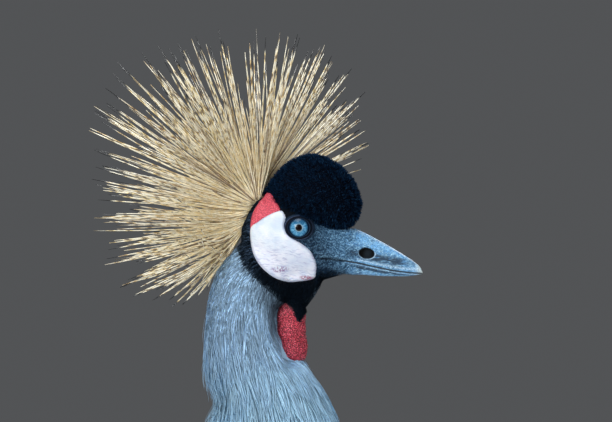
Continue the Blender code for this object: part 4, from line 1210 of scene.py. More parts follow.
def billPaint():
    paint = Paint("billHorn", Specular_IOR_Level=0.35)
    head = paint.headPlace()
    u, _, w = paint.apart(head)
    stretched = paint.node("ShaderNodeMapping", {}, {"Vector": head, "Scale": (0.42, 0.7, 0.75)})
    flakes = paint.noise(1.0, 6.0, stretched, 0.8)
    fine = paint.noise(1.7, 4.0, head, 0.7)
    streaks = paint.noise(0.5, 3.0, paint.node("ShaderNodeMapping", {}, {"Vector": head, "Scale": (0.35, 1.0, 2.2)}))
    clouds = paint.noise(0.16, 4.0, head)
    rise = (u + (w + 12.0) * 0.45).smooth(10.0, 46.0)
    base = paint.mix(rise, tuple(colours["lores"]), tuple(colours["browBlue"]))
    base = paint.mix(clouds.smooth(0.40, 0.62) * 0.65, base, (0.026, 0.110, 0.250))
    base = paint.mix((1 - fine.smooth(0.40, 0.54)) * 0.8, base, (0.008, 0.034, 0.085))
    pale = flakes.smooth(0.48, 0.56) * (0.30 + 0.70 * fine.smooth(0.44, 0.56))
    pale = pale * (0.55 + 0.45 * clouds.smooth(0.35, 0.6))
    tinted = paint.mix(pale * (0.38 + 0.54 * rise), base, (0.46, 0.79, 1.0))
    tinted = paint.mix(streaks.smooth(0.52, 0.64) * u.smooth(40.0, 60.0) * fine * 0.7, tinted, (0.34, 0.64, 0.92))
    # Whitish along the culmen, stronger towards the tip: partly pale frost, partly painted highlight of the lit ridge.
    ridge = paint.attribute("ridge") * (0.15 + 0.65 * u.smooth(48.0, 80.0)) * flakes.smooth(0.36, 0.5)
    tinted = paint.mix(ridge, tinted, (0.74, 0.84, 0.94))
    tinted = paint.mix(u.smooth(86.0, 95.0) * 0.8, tinted, (0.66, 0.70, 0.62))
    away = paint.attribute("away")
    bright = (1 - (away - 1.7).maths("ABSOLUTE").smooth(0.1, 0.9)) * fine.smooth(0.46, 0.56)
    tinted = paint.mix(bright * u.smooth(34.0, 50.0) * 0.8, tinted, (0.60, 0.78, 0.92))
    # Dark along the groove beside the mouth: painted shade in the groove.
    groove = (1 - (away - 3.9).maths("ABSOLUTE").smooth(0.8, 2.7)) * streaks.smooth(0.32, 0.48)
    tinted = paint.mix(groove * 0.9 * (1 - u.smooth(74.0, 92.0)), tinted, (0.005, 0.018, 0.040))
    # Near-black at the mouth line: painted shade between the two halves.
    tinted = paint.mix((1 - away.smooth(0.2, 0.8)) * 0.9, tinted, (0.003, 0.006, 0.012))
    pit = paint.attribute("pit")
    # The nostril's pit is painted near-black: painted shade of its depth, with a slightly lighter patch low in it as a
    # painted glint.
    inner = paint.mix((u - w).smooth(64.0, 73.0) * (1 - (u - 52.0).maths("ABSOLUTE").smooth(1.0, 4.5)) * 0.7,
                      (0.0004, 0.0006, 0.001), (0.010, 0.018, 0.026))
    rim = pit.smooth(0.0, 0.03) * (1 - pit.smooth(0.05, 0.25)) * (1 - (w + 19.0).smooth(-2.0, 3.0))
    tinted = paint.mix(pit.smooth(0.05, 0.50), tinted, inner)
    tinted = paint.mix(rim * 0.7, tinted, (0.46, 0.66, 0.84))
    paint.colour(tinted)
    paint.rough(0.36 + 0.30 * flakes + pit)
    paint.bump(flakes + 0.6 * streaks + 0.5 * fine, 0.7, 0.0007)
    return paint.material


def makeBill():
    sizes = billSizes
    material = billPaint()
    rings, arc, inner = sizes["rings"], sizes["arc"], sizes["inner"]
    t = np.concatenate([np.linspace(0, 0.12, 24)[:-1], np.linspace(0.12, 1, rings - 23)])
    rows = billForm.blend(t)
    x, z, tall, wide = (rows[:, k] / mm for k in range(4))
    fade = -1.5 * (1 - ease(x, 31, 42))
    tall, wide = tall + fade, wide + fade
    line = np.interp(x, *zip(*mouthLine))
    grounds = []
    for name, side in (("bill_upper", 1), ("bill_lower", -1)):
        edge = line + side * sizes["gap"] / 2
        first = np.arcsin(np.clip((edge - z) / tall, -0.97, 0.97))
        swing = np.linspace(0, 1, arc)[None]
        turn = first[:, None] + (side * math.pi - 2 * first[:, None]) * swing
        sharp = 1 - 0.16 * np.maximum(np.sin(turn) * side, 0) ** 2
        out = wide[:, None] * np.cos(turn) * sharp
        rise = z[:, None] + tall[:, None] * np.sin(turn)
        ahead = np.repeat(x[:, None], arc, 1)
        edgeShare = np.minimum(swing, 1 - swing) * math.pi * (tall + wide)[:, None] / 2
        swell = 0.28 * hump(edgeShare, 1.5, 0.6) - 0.38 * hump(edgeShare, 3.1, 0.8)
        ridge = ease(np.sin(turn) * side, 0.80, 1.0) if side > 0 else 0 * turn
        pit = 0 * turn
        if side > 0:
            px, pz, halfLong, halfHigh, tilt = sizes["nostril"]
            du, dw = ahead - px, rise - pz
            a = du * math.cos(tilt) + dw * math.sin(tilt)
            b = -du * math.sin(tilt) + dw * math.cos(tilt)
            q = np.hypot(a / halfLong, b / halfHigh)
            pit = 1 - ease(q, 0.70, 0.96)
            trench = hump(dw + 0.35 * (du - 9), 0, 2.2) * ease(du, 4, 8) * (1 - ease(du, 16, 26))
            swell = swell + 0.35 * hump(q, 1.12, 0.16) - 0.5 * trench
        out = out + np.sign(np.cos(turn)) * (swell - pit * sizes["nostrilDepth"] * 0.8)
        outer = np.stack([ahead, out, rise], -1)
        across = np.linspace(0, 1, inner + 2)[1:-1][None, :, None]
        back, start = outer[:, -1:], outer[:, :1]
        closing = back + (start - back) * across
        bulge = np.sin(across[..., 0] * math.pi) * np.minimum(tall, 3)[:, None] / 3
        closing[..., 2] += side * 0.15 + side * 0.8 * bulge
        whole = np.concatenate([outer, closing], 1) * mm + headAt
        extra = np.zeros((rings, inner))
        places, quads, ends = tube(whole)
        half = makeBody(name.replace("bill_", "horn_"), places, [quads, ends], material)
        for key, values in (("away", edgeShare), ("ridge", ridge), ("pit", pit)):
            keepNumber(half, key, np.concatenate([np.concatenate([values, extra], 1).ravel(), [0, 0]]))
        settle(outwards(half), name, slot="bill_horn")
        grounds.append(Ground(half))
    return grounds


# Cap: a velvet dome of short upright feathers
capSizes = {
    "tufts": 12500,
    "length": 2.9 * mm,
    "halfWidth": 0.34 * mm,
    "thick": 0.3 * mm,
    "depth": -3.0 * mm,
    "middle": 6 * mm,  # the dome is squeezed lengthways about it
    "squeeze": 0.94,
    "seed": 5,
}


def makeCap():
    sizes = capSizes
    chance = np.random.default_rng(sizes["seed"])
    under = Paint("capUnder", Roughness=0.95, Specular_IOR_Level=0.02)
    shade = under.noise(700.0, 2.0)
    under.colour(under.ramp(shade, ((0.35, (0.001, 0.0015, 0.003)), (0.65, (0.004, 0.006, 0.012)))))
    places, quads, ends = shell(capForm, 54, 72, sizes["depth"])
    middle = headAt[0] + sizes["middle"]
    places[:, 0] = middle + (places[:, 0] - middle) * sizes["squeeze"]
    dome = makeBody("capDome", places, [quads, ends], under.material)
    settle(outwards(dome), "cap", slot="cap_velvet")
    ground = Ground(dome)

    def weight(places):
        return (inside("red", places) < -0.6) & (inside("white", places) < -0.3)

    roots, normals = ground.scatter(sizes["tufts"], weight, chance)
    count = len(roots)
    swirl = chance.normal(size=(count, 3))
    waves = np.sin(roots @ np.array([[900, 300, 500], [200, -700, 800], [-500, 600, 700]]).T)
    back = np.array([-1.0, 0, -0.25])
    lean = unit(normals + 0.35 * back + 0.22 * waves + 0.20 * swirl)
    lengths = sizes["length"] * chance.uniform(0.7, 1.15, count)
    line = np.stack([roots - normals * 0.3 * mm, roots + unit(lean + 0.3 * normals) * (lengths * 0.55)[:, None],
                     roots + lean * lengths[:, None]], 1)
    facing = np.repeat(unit(np.cross(lean, chance.normal(size=(count, 3))))[:, None], 3, 1)
    tip = ease(waves[:, 0] + chance.normal(0, 0.5, count), -1, 1.5)
    tints = blended(np.array([0.0006, 0.0024, 0.0070]), np.array([0.006, 0.026, 0.072]), tip * 0.6)
    bright = ease(chance.random(count), 0.90, 0.99) * ease(roots[:, 0] - headAt[0], -0.015, 0.03)
    tints = blended(tints, np.array([0.020, 0.070, 0.150]), bright)
    paint = featherPaint("velvet", streak=0.5, tip=(0.014, 0.054, 0.130), tipShare=0.40, rough=0.9, gloss=0.02)
    local = (roots - headAt) / mm
    rootUv = np.stack([0.5 + 0.45 * np.arctan2(local[:, 1], local[:, 2] - 5) / math.pi,
                       0.5 + 0.0095 * (local[:, 0] - 6)], 1)
    velvet = growVanes("capVelvet", line, facing, np.full(count, sizes["halfWidth"]),
                       np.full(count, sizes["thick"]), ((0, 0.7), (0.6, 1), (1, 0.25)), hairSection, tints, rootUv,
                       paint, chance)
    settle(velvet, slot="cap_velvet")
    return ground


# Crest: a globe of stiff twisted straws from a small mound behind the cap
crestSizes = {
    "rays": 62,  # directions that the straws gather in, as seen from the side
    "straws": 490,
    "filling": 170,  # shorter straws between them
    "front": 130,  # straws beside and ahead of the cap, on its left
    "bunches": (20, 24, 30, 36, 41, 45, 49, 54, 58, 63, 67, 72),  # directions of those
    "span": (76, 246),  # of the rays, in degrees up from the bill
    "mound": (-31, 0, 17),
    "nape": (-12, 0, -21),  # where the lowest straws root, from the mound
    "moundRadii": (9, 5, 10),
    "beside": (-34, 8, 22),  # where those of the front root
    "besideSpread": 1.6,
    "reach": ((15, 88), (26, 96), (38, 110), (46, 122), (60, 132), (83, 142), (115, 141), (127, 150), (136, 154),
              (148, 150), (165, 135), (175, 130), (200, 127), (219, 122), (229, 106), (236, 99), (247, 90)),
    "halfWidth": 0.55 * mm,
    "thick": 0.30 * mm,
    "wiggle": 0.8 * mm,
    "twist": (0.5, 0.12),  # how far and how fast
    "clearOfSkin": 0.5 * mm,
    "clearOfCap": 1.2 * mm,
    "seed": 21,
    "steps": 14,
    "pieces": 2,
}


def strawPaint():
    paint = Paint("straw", Specular_IOR_Level=1.0, IOR=1.6)
    across, along, own = paint.apart(paint.attribute("vane", "Vector"))
    run = along * paint.attribute("reach")
    wander = paint.noise(1.0, 2.0, paint.node("ShaderNodeCombineXYZ", {}, {0: run * 0.12, 1: own * 60.0, 2: 0.0}))
    wave = (run * 0.62 + wander * 4.0 + own * 40.0 + across * 0.5).maths("SINE")
    shade = paint.ramp((own * 5.7).maths("FRACT"), (
        (0.0, (0.84, 0.56, 0.21)), (0.4, (1.0, 0.88, 0.60)), (0.7, (1.0, 0.76, 0.32)), (1.0, (1.0, 0.97, 0.86)),
    ))
    outer = run.smooth(45.0, 105.0)
    tinted = paint.mix((1 - outer) * 0.35, shade, (1.0, 0.87, 0.58))
    # Pale and dark bands along each straw: partly the straws' own banding, partly painted highlight and painted shade
    # of their twist.
    light = wave.smooth(-0.4, 0.4) * (0.55 + 0.45 * outer)
    dark = (-0.60 - wave).smooth(0.0, 0.2) * (0.06 + 0.86 * outer) * (0.5 + 0.5 * own)
    tinted = paint.mix(light * 0.85, tinted, (1.0, 0.94, 0.76))
    tinted = paint.mix(dark, tinted, (0.08, 0.035, 0.012))
    # About a fifth of the straws are darker brown, most near the root: painted shade of straws lying deep in the
    # bundle.
    shadedStraws = (own * 3.3).maths("FRACT").smooth(0.74, 0.84) * (1 - 0.6 * outer)
    tinted = paint.mix(shadedStraws * 0.85, tinted, (0.14, 0.065, 0.022))
    # Darker along each straw's edges: painted shade at its sides.
    tinted = paint.mix(across.maths("ABSOLUTE").smooth(0.8, 1.0) * 0.4, tinted, (0.22, 0.11, 0.04))
    end = along.smooth(0.925, 0.95) * (own * 7.3).maths("FRACT").smooth(0.25, 0.4)
    tinted = paint.mix(end, tinted, (0.004, 0.004, 0.005))
    paint.colour(tinted)
    paint.rough(0.20 + 0.15 * wander)
    return paint.material


def aimed(angle, y):
    flat = np.sqrt(1 - y**2)
    return np.stack([np.cos(np.radians(angle)) * flat, y, np.sin(np.radians(angle)) * flat], -1)


def strawDirections(chance):
    sizes = crestSizes
    rays = np.linspace(*sizes["span"], sizes["rays"]) + chance.uniform(-1.5, 1.5, sizes["rays"])
    total = sizes["straws"]
    angle = rays[chance.integers(0, sizes["rays"], total)] + chance.normal(0, 0.4, total)
    y = chance.uniform(-1, 1, total)
    y = 0.9 * y * (0.4 + 0.6 * np.abs(y))
    share = 0.99 - 0.34 * chance.random(total) ** 1.3
    fill = sizes["filling"]
    angle = np.concatenate([angle, 247 - 173 * chance.random(fill) ** 1.25])
    y = np.concatenate([y, chance.uniform(-0.9, 0.9, fill)])
    share = np.concatenate([share, chance.uniform(0.45, 0.75, fill)])
    front = sizes["front"]
    bunch = np.array(sizes["bunches"])
    ahead = bunch[chance.integers(0, len(bunch), front)] + chance.normal(0, 1.2, front)
    keen = chance.random(front) < 0.45 + 0.55 * ease(ahead, 38, 56)
    angle = np.concatenate([angle, ahead[keen]])
    y = np.concatenate([y, chance.uniform(0.42, 0.68, keen.sum())])
    share = np.concatenate([share, chance.uniform(0.68, 1.0, keen.sum())])
    return angle, np.clip(y, -0.93, 0.93), share


def makeCrest(ground, capGround):
    sizes = crestSizes
    chance = np.random.default_rng(sizes["seed"])
    angle, y, share = strawDirections(chance)
    aims = aimed(angle, y)
    count, steps = len(aims), sizes["steps"]
    ahead = angle < sizes["span"][0] - 2
    reach = np.interp(angle, *zip(*sizes["reach"])) * share * mm
    reach = np.where(ahead, reach / np.sqrt(1 - y**2), reach * (1 - 0.06 * y**2))
    mound = headAt + (np.array(sizes["mound"]) + np.array(sizes["nape"]) * ease(angle, 150, 246)[:, None]) * mm
    first = unit(aims * np.array([1, 0.35, 1]) + chance.normal(0, 0.04, (count, 3)))
    roots = mound + first * np.array(sizes["moundRadii"]) * mm * 0.3
    scattered = chance.normal(0, sizes["besideSpread"], (ahead.sum(), 3))
    roots[ahead] = headAt + (np.array(sizes["beside"]) + scattered) * mm
    tips = headAt + np.array(sizes["mound"]) * mm + aims * reach[:, None]
    middle = roots + first * (reach * 0.34)[:, None]
    run = np.linspace(0, 1, steps)[None, :, None]
    bend = middle * 2 - (roots + tips) / 2
    bend = np.where(ahead[:, None], (roots + tips) / 2, bend)
    lines = roots[:, None] * (1 - run) ** 2 + bend[:, None] * 2 * run * (1 - run) + tips[:, None] * run**2
    wiggle = chance.normal(0, 1, (count, 1, 3)) * np.sin(run * 4 + chance.uniform(0, 6, (count, 1, 1))) * run
    lines = lines + wiggle * sizes["wiggle"]
    walls = ((ground.tree, sizes["clearOfSkin"]), (capGround.tree, sizes["clearOfCap"]))
    clear = np.ones(count, bool)
    for k in range(count):
        for place in lines[k, 1:]:
            for wall, margin in walls:
                near, normal, _, apart = wall.find_nearest(place)
                within = (Vector(place) - near).dot(normal) < 0
                if within or apart < margin:
                    clear[k] = False
                    break
            if not clear[k]:
                break
    lines, aims, reach = lines[clear], aims[clear], reach[clear]
    print(f"crest: {len(lines)} of {count} straws clear of the head")
    count = len(lines)
    material = strawPaint()
    far, pace = sizes["twist"]
    twist = np.sin(np.linspace(0, 1, steps)[None] * reach[:, None] / mm * pace + chance.uniform(0, 6, (count, 1)))
    twist = (far * twist)[..., None]
    heading = unit(np.gradient(lines, axis=1))
    side = unit(np.cross(heading, np.array([0.1, 1.0, 0.2])))
    outward = np.cross(heading, side)
    away = (aims[:, 1] + 0.1 * chance.normal(size=count))[:, None]
    outward = outward * np.where(outward[..., 1] * away < 0, -1, 1)[..., None]
    facing = outward * np.cos(twist) + side * np.sin(twist)
    rootUv = np.stack([0.5 + 0.45 * np.arctan2(aims[:, 1], aims[:, 2]) / math.pi, 0.5 + 0.45 * aims[:, 0]], 1)
    for number in range(sizes["pieces"]):
        some = np.arange(number, count, sizes["pieces"])
        straws = growVanes(f"crestStraws{number + 1}", lines[some], facing[some],
                           sizes["halfWidth"] * chance.uniform(0.7, 1.2, len(some)), np.full(len(some), sizes["thick"]),
                           ((0, 0.6), (0.3, 0.85), (0.77, 1.0), (0.85, 0.92), (0.923, 0.82), (1, 0.3)), thinSection,
                           np.ones((len(some), 3)), rootUv[some], material, chance)
        keepNumber(straws, "reach", np.repeat(reach[some] / mm, steps * len(thinSection)))
        settle(straws, *(["crest"] if number == 0 else []), slot="crest_straw")


# Neck: short soft feathers above, then finer and longer strands, then long pointed plumes below
neckSizes = {
    "tiers": (
        # name, from, full at, fades, ends (mm under the eye), count, steps, length, half width, rise, pull, section
        ("neckHairs", 4, 10, 92, 125, 12500, 3, 8.0, 0.36, 0.12, 0.35, "hair"),
        ("neckStrands", 48, 82, 170, 210, 5600, 6, 31, 0.56, 0.085, 0.62, "hair"),
        ("neckPlumes", 130, 182, 325, 372, 2750, 8, 62, 1.80, 0.075, 0.62, "thin"),
    ),
    "lock": 9,  # feathers whose ends are drawn together
    "thick": 0.3 * mm,
    "seed": 31,
}


def tucked(lines):  # nothing grows over the wattle
    over = ease(inside("wattle", lines), -0.8, 0.2)
    y = lines[..., 1]
    lines[..., 1] = y + (np.clip(y, -5 * mm, 5 * mm) - y) * over
    return lines


def makeNeck(ground):
    sizes = neckSizes
    chance = np.random.default_rng(sizes["seed"])
    paint = featherPaint("neckFeathers", streak=0.36, tip=(0.50, 0.70, 0.94), tipShare=0.30, rough=0.8, barbs=6.0,
                         gloss=0.08)
    for name, start, full, fade, end, count, steps, length, halfWidth, rise, pull, section in sizes["tiers"]:
        def weight(places):
            u, _, w = localParts(places)
            free = (inside("black", places) < 1.5) * clearOfCheeks(places)
            beside = inside("wattle", places)
            free = free * np.where(beside < 0, 1 + 1.8 * ease(beside, -10, -4), 3 * (w < -84))
            return free * ease(-w, start, full) * (1 - ease(-w, fade, end)) * (u > -112) * (u + 0.4 * w < -14)

        roots, normals = ground.scatter(count, steady(weight), chance)
        u, _, w = localParts(roots)
        grown = 0.75 + 0.5 * ease(-w, start, fade)
        lengths = length * mm * chance.uniform(0.65, 1.2, count) * grown
        loose = ease(-u, 54, 68) * hump(w, -98, 14) * 2.2 * chance.random(count)  # tips off the nape
        loose = loose + ease(-u, 42, 58) * hump(w, -126, 9) * 3.0 * chance.random(count)
        lift = rise * chance.uniform(0.6, 1.4, count) * (1 + 1.4 * loose)
        line, facing = ground.paths(roots, normals, lengths, steps, lift, 0.5 * mm, chance.normal(0, 0.10, count))
        line = tucked(gathered(line, sizes["lock"], pull, chance))
        tints = markings(roots, chance.random(count))
        along = np.linspace(0, 1, steps)
        tints = np.stack([blended(tints * 0.70, tints * 1.15, np.full(count, s)) for s in along], 1)
        feathers = growVanes(name, line, facing, halfWidth * mm * chance.uniform(0.6, 1.3, count),
                             np.full(count, sizes["thick"]), ((0, 0.5), (0.25, 1), (0.7, 0.55), (1, 0.03)),
                             hairSection if section == "hair" else thinSection, tints, lie.unwrap(roots), paint, chance)
        settle(feathers, slot="neck_plumes")


# Body: rounded grey feathers on the breast, belly, back and thighs
bodySizes = {
    "tries": 8000,
    "spacing": 8.7 * mm,
    "length": 42 * mm,
    "halfWidth": 7.0 * mm,
    "thick": 0.7 * mm,
    "rise": 0.12,
    "sink": 1.2 * mm,
    "steps": 8,
    "thighTries": 5000,
    "thighSpacing": 4.6 * mm,
    "thighLength": 20 * mm,
    "thighHalfWidth": 3.2 * mm,
    "thighThick": 0.5 * mm,
    "thighRise": 0.14,
    "thighSink": 0.8 * mm,
    "thighSteps": 6,
    "seed": 41,
}


def onThigh(places):
    local = places - floorAt
    return (local[:, 2] < 0.47) & (np.abs(local[:, 1]) > 0.012)


def makeBodyCoat(ground):
    sizes = bodySizes
    chance = np.random.default_rng(sizes["seed"])
    paint = featherPaint("bodyFeathers", streak=0.5, shaft=0.35, tip=(0.34, 0.40, 0.46), tipShare=0.35, rough=0.72,
                         barbs=22.0)

    def torsoWeight(places):
        local = places - floorAt
        return (local[:, 2] < 0.70) * ~onThigh(places)

    roots, normals = ground.spread(sizes["tries"], steady(torsoWeight), sizes["spacing"], chance)
    count = len(roots)
    local = roots - floorAt
    back = ease(normals[:, 2], 0.1, 0.7)
    lengths = sizes["length"] * chance.uniform(0.8, 1.15, count) * (1 + 0.8 * back * ease(-local[:, 0], -0.06, 0.1))
    line, facing = ground.paths(roots, normals, lengths, sizes["steps"], sizes["rise"], sizes["sink"],
                                chance.normal(0, 0.06, count))
    tints = markings(roots, chance.random(count))
    tints = blended(tints, colours["bodyDark"] * 1.4, back * 0.45)
    halfWidth = sizes["halfWidth"] * chance.uniform(0.8, 1.15, count) * (1 - 0.35 * back)
    coat = growVanes("bodyFeathers", line, facing, halfWidth, np.full(count, sizes["thick"]),
                     ((0, 0.35), (0.35, 1), (0.75, 0.85), (0.92, 0.45), (1, 0.06)), vaneSection, tints,
                     lie.unwrap(roots), paint, chance)
    settle(coat, slot="body_plumes")
    roots, normals = ground.spread(sizes["thighTries"], steady(onThigh), sizes["thighSpacing"], chance)
    count = len(roots)
    lengths = sizes["thighLength"] * chance.uniform(0.8, 1.2, count)
    line, facing = ground.paths(roots, normals, lengths, sizes["thighSteps"], sizes["thighRise"],
                                sizes["thighSink"], chance.normal(0, 0.08, count))
    coat = growVanes("thighFeathers", line, facing, sizes["thighHalfWidth"] * chance.uniform(0.8, 1.2, count),
                     np.full(count, sizes["thighThick"]), ((0, 0.4), (0.35, 1), (0.75, 0.8), (1, 0.05)), thinSection,
                     markings(roots, chance.random(count)), lie.unwrap(roots), paint, chance)
    settle(coat, slot="body_plumes")


# Folded wings: a soft core each, under six tiers of feathers from the shoulder back
wingSizes = {
    "tiers": (
        # rows, first and last place along the wing, lowest and highest share of its side, feathers a row,
        # length, half width and rise in millimetres, first and last colour, outline, sag and finish
        ("scapulars", 5, -0.02, 0.50, 0.80, 0.985, 7, 0.105, 6.5, 3.4, "bodyPale", "bodyDark", "soft", 0.08, "grey"),
        ("coverts", 10, 0.01, 0.42, -0.94, 0.92, 30, 0.060, 5.8, 1.4, "white", "white", "soft", 0.08, "white"),
        ("longCoverts", 3, 0.40, 0.52, -0.90, 0.90, 26, 0.095, 6.0, 2.6, "white", "straw", "soft", 0.08, "white"),
        ("gold", 4, 0.48, 0.66, -0.55, 0.80, 20, 0.135, 5.0, 4.0, "straw", "gold", "pointed", 0.35, "white"),
        ("secondaries", 3, 0.50, 0.66, -0.90, 0.45, 12, 0.170, 12, 2.2, "chestnut", "chestnut", "broad", 0.08, "dark"),
        ("primaries", 2, 0.60, 0.72, -0.92, 0.05, 9, 0.215, 12.0, 1.4, "flight", "flight", "broad", 0.10, "dark"),
    ),
    "outlines": {
        "soft": ((0, 0.4), (0.3, 1), (0.65, 0.8), (0.9, 0.35), (1, 0.04)),
        "pointed": ((0, 0.5), (0.3, 1), (0.7, 0.5), (1, 0.03)),
        "broad": ((0, 0.4), (0.3, 1), (0.8, 0.9), (0.95, 0.5), (1, 0.08)),
    },
    "steps": 9,
    "thick": 0.5 * mm,
    "root": -2.0,  # where feathers start and how far they lie over the wing's surface, in millimetres
    "over": 0.6,
    "loose": 0.9,
    "skinDepth": -2.5 * mm,
    "seed": 51,
}


def makeWings():
    sizes = wingSizes
    chance = np.random.default_rng(sizes["seed"])
    finishes = {
        "white": featherPaint("whiteFeathers", streak=0.30, shaft=0.12, rough=0.7, barbs=30.0),
        "dark": featherPaint("darkFeathers", streak=0.45, shaft=0.5, rough=0.5, barbs=60.0),
        "grey": featherPaint("scapulars", streak=0.5, shaft=0.3, rough=0.7, barbs=24.0, tip=(0.30, 0.39, 0.48),
                             tipShare=0.4),
    }
    bare = Paint("wingSkin", Roughness=0.8)
    bare.colour(bare.ramp(bare.noise(60.0), ((0.3, (0.10, 0.09, 0.08)), (0.7, (0.30, 0.27, 0.22)))))
    for side, suffix in ((1, "Left"), (-1, "Right")):
        node = "wing_" + suffix.lower()
        places, quads, ends = shell(wing, 50, 40, sizes["skinDepth"])
        core = makeBody("wingCore" + suffix, places if side > 0 else flipped(places), [quads, ends], bare.material)
        settle(outwards(core), node, slot="wing_feathers")
        for name, *numbers, first, last, outline, sag, finish in sizes["tiers"]:
            rows, back0, back1, low, high, number, length, halfWidth, lift = numbers
            row, k = (a.ravel() for a in np.meshgrid(np.arange(rows), np.arange(number), indexing="ij"))
            count = len(row)
            share = row / max(rows - 1, 1)
            spot = (k + 0.5 * (row % 2) + chance.uniform(-0.22, 0.22, count)) / (number - 0.5)
            height = np.clip(high + (low - high) * spot, -0.97, 0.97)
            t0 = back0 + (back1 - back0) * share + 0.05 * (1 - height**2) - 0.03 + chance.uniform(-0.006, 0.006, count)
            reach = length * chance.uniform(0.9, 1.1, count) * (1 + (0.5 * share if name == "coverts" else 0))
            run = np.linspace(0, 1, sizes["steps"])[None]
            t = t0[:, None] + run * (reach / wing.length)[:, None]
            turn = np.arcsin(np.clip(height[:, None] - sag * run * (reach / 0.1)[:, None], -0.985, 0.985))
            normal = wing.normal(t, turn)
            rise = sizes["root"] * mm * (run == 0) + (sizes["over"] + lift * run * np.minimum(1, 0.6 + run)) * mm
            rise = rise + chance.uniform(0, sizes["loose"], (count, 1)) * mm * run
            line = wing.at(t, turn) + normal * rise[..., None]
            rootUv = np.stack([0.01 + np.clip(t0, 0, 1.0) * 0.47 + (0.5 if side < 0 else 0), 0.5 + 0.45 * height], 1)
            tints = blended(colours[first], colours[last], chance.uniform(0.0, 1.0, count))
            tints = tints * chance.uniform(0.82, 1.08, (count, 1))
            if side < 0:
                line, normal = flipped(line), flipped(normal)
            feathers = growVanes(name + suffix, line, normal, halfWidth * mm * chance.uniform(0.85, 1.15, count),
                                 np.full(count, sizes["thick"]), sizes["outlines"][outline], vaneSection, tints,
                                 rootUv, finishes[finish], chance)
            settle(feathers, slot="wing_feathers")


# Tail: broad black feathers fanned a little, under the wing tips
tailSizes = {
    "base": (-0.190, 0, 0.474),
    "pitch": -40,
    "length": 0.195,
    "feathers": 12,
    "halfWidth": 15 * mm,
    "thick": 1.0 * mm,
    "apart": (0.022, 0.040),  # of the outermost feathers from the middle: at the base, and more at the tip
    "arch": 9 * mm,  # the middle over the sides
    "sag": 0.012,
    "seed": 61,
}


def makeTail():
    sizes = tailSizes
    chance = np.random.default_rng(sizes["seed"])
    pitch = math.radians(sizes["pitch"])
    heading = np.array([-math.cos(pitch), 0, math.sin(pitch)])
    up = unit(np.array([heading[2], 0, -heading[0]]))
    paint = featherPaint("tailFeathers", streak=0.45, shaft=0.5, rough=0.5, barbs=70.0)
    k = np.arange(sizes["feathers"])
    side = (k - (sizes["feathers"] - 1) / 2) / ((sizes["feathers"] - 1) / 2)
    stack = (1 - np.abs(side)) * sizes["arch"] + 0.6 * mm * (side > 0) - 6 * mm
    share = np.linspace(0, 1, 12)[None]
    run = -0.01 + (sizes["length"] + 0.01) * (1 - 0.10 * side**2)[:, None] * share
    y = side[:, None] * (sizes["apart"][0] + sizes["apart"][1] * share)
    sag = -sizes["sag"] * share * share * (0.6 + side**2)[:, None]
    line = floorAt + np.array(sizes["base"]) + run[..., None] * heading + (stack[:, None] + sag)[..., None] * up
    line = line + np.stack([0 * y, y, 0 * y], -1)
    facing = unit(up + np.array([0, 0.25, 0]) * side[:, None])[:, None] + 0 * line
    count = len(k)
    tints = np.repeat(colours["flight"][None], count, 0)
    rootUv = np.stack([0.5 + 0.4 * side, np.full(count, 0.5)], 1)
    tail = growVanes("tailFeathers", line, facing, np.full(count, sizes["halfWidth"]), np.full(count, sizes["thick"]),
                     ((0, 0.35), (0.3, 0.95), (0.85, 0.9), (0.96, 0.55), (1, 0.1)), vaneSection, tints, rootUv,
                     paint, chance)
    settle(tail, "tail", slot="tail_feathers")


# Legs: scaled skin over the shin, tarsus and toes, with a claw on each toe
legSizes = {
    # length, heading (degrees from straight ahead) and thickness
    "toes": ((0.094, 2, 0.0118), (0.074, 34, 0.0106), (0.068, -27, 0.0106), (0.036, 172, 0.0090)),
    "joint": (-0.006, 0.046, 0.0095),
    "ball": (0.0100, 0.0093, 0.0125),  # half sizes of the foot's middle
    "claw": 0.018,
    "depth": -0.5 * mm,
    "voxel": 1.3 * mm,
}


def legPaint():
    paint = Paint("legSkin", Specular_IOR_Level=0.5)
    scales = paint.cells(230.0, jitter=0.6)
    clouds = paint.noise(25.0, 4.0)
    greys = ((0.3, (0.010, 0.011, 0.013)), (0.6, (0.028, 0.030, 0.034)), (0.8, (0.060, 0.062, 0.066)))
    tinted = paint.ramp(clouds, greys)
    tinted = paint.mix(scales.smooth(0.45, 0.75) * 0.6, tinted, (0.006, 0.006, 0.008))
    paint.colour(tinted)
    paint.rough(0.40 + 0.3 * scales)
    paint.bump(1 - scales, 0.8, 0.0008)
    return paint.material


def headingOf(degrees):  # level directions along a toe and across it
    a = math.radians(degrees)
    return np.array([math.cos(a), math.sin(a), 0]), np.array([-math.sin(a), math.cos(a), 0])


def ringed(middle, radius, aside, sides, narrow=1.0):
    turn = np.arange(sides) * 2 * math.pi / sides
    ring = aside * np.cos(turn)[:, None] * narrow + np.array([0, 0, 1]) * np.sin(turn)[:, None]
    return tube(middle[:, None] + ring[None] * radius[:, None, None])


def makeToe(root, length, heading, thick):
    ahead, aside = headingOf(heading)
    share = np.linspace(0, 1, 40)
    radius = thick / 2 * (1 - 0.46 * share) * (1 + 0.10 * np.cos(6 * math.pi * share))  # with three joints
    middle = root + ahead * (length * share)[:, None]
    middle[:, 2] = radius * 0.90 + (root[2] - radius) * np.maximum(0, 1 - 3 * share)
    return ringed(middle, radius, aside, 20)


def makeClaw(root, length, heading, thick, claw):
    ahead, aside = headingOf(heading)
    share = np.linspace(0, 1, 16)
    base = np.array([root[0], root[1], 0]) + ahead * (length * 0.95)
    middle = base + ahead * (-0.004 + (claw + 0.004) * share)[:, None]
    radius = thick * 0.30 * (1 - share) ** 0.75 + 0.0003
    middle[:, 2] = 0.0016 + radius * 0.8 + 0.0022 * np.sin(share * math.pi * 0.8)
    return ringed(middle, radius, aside, 14, 0.75)


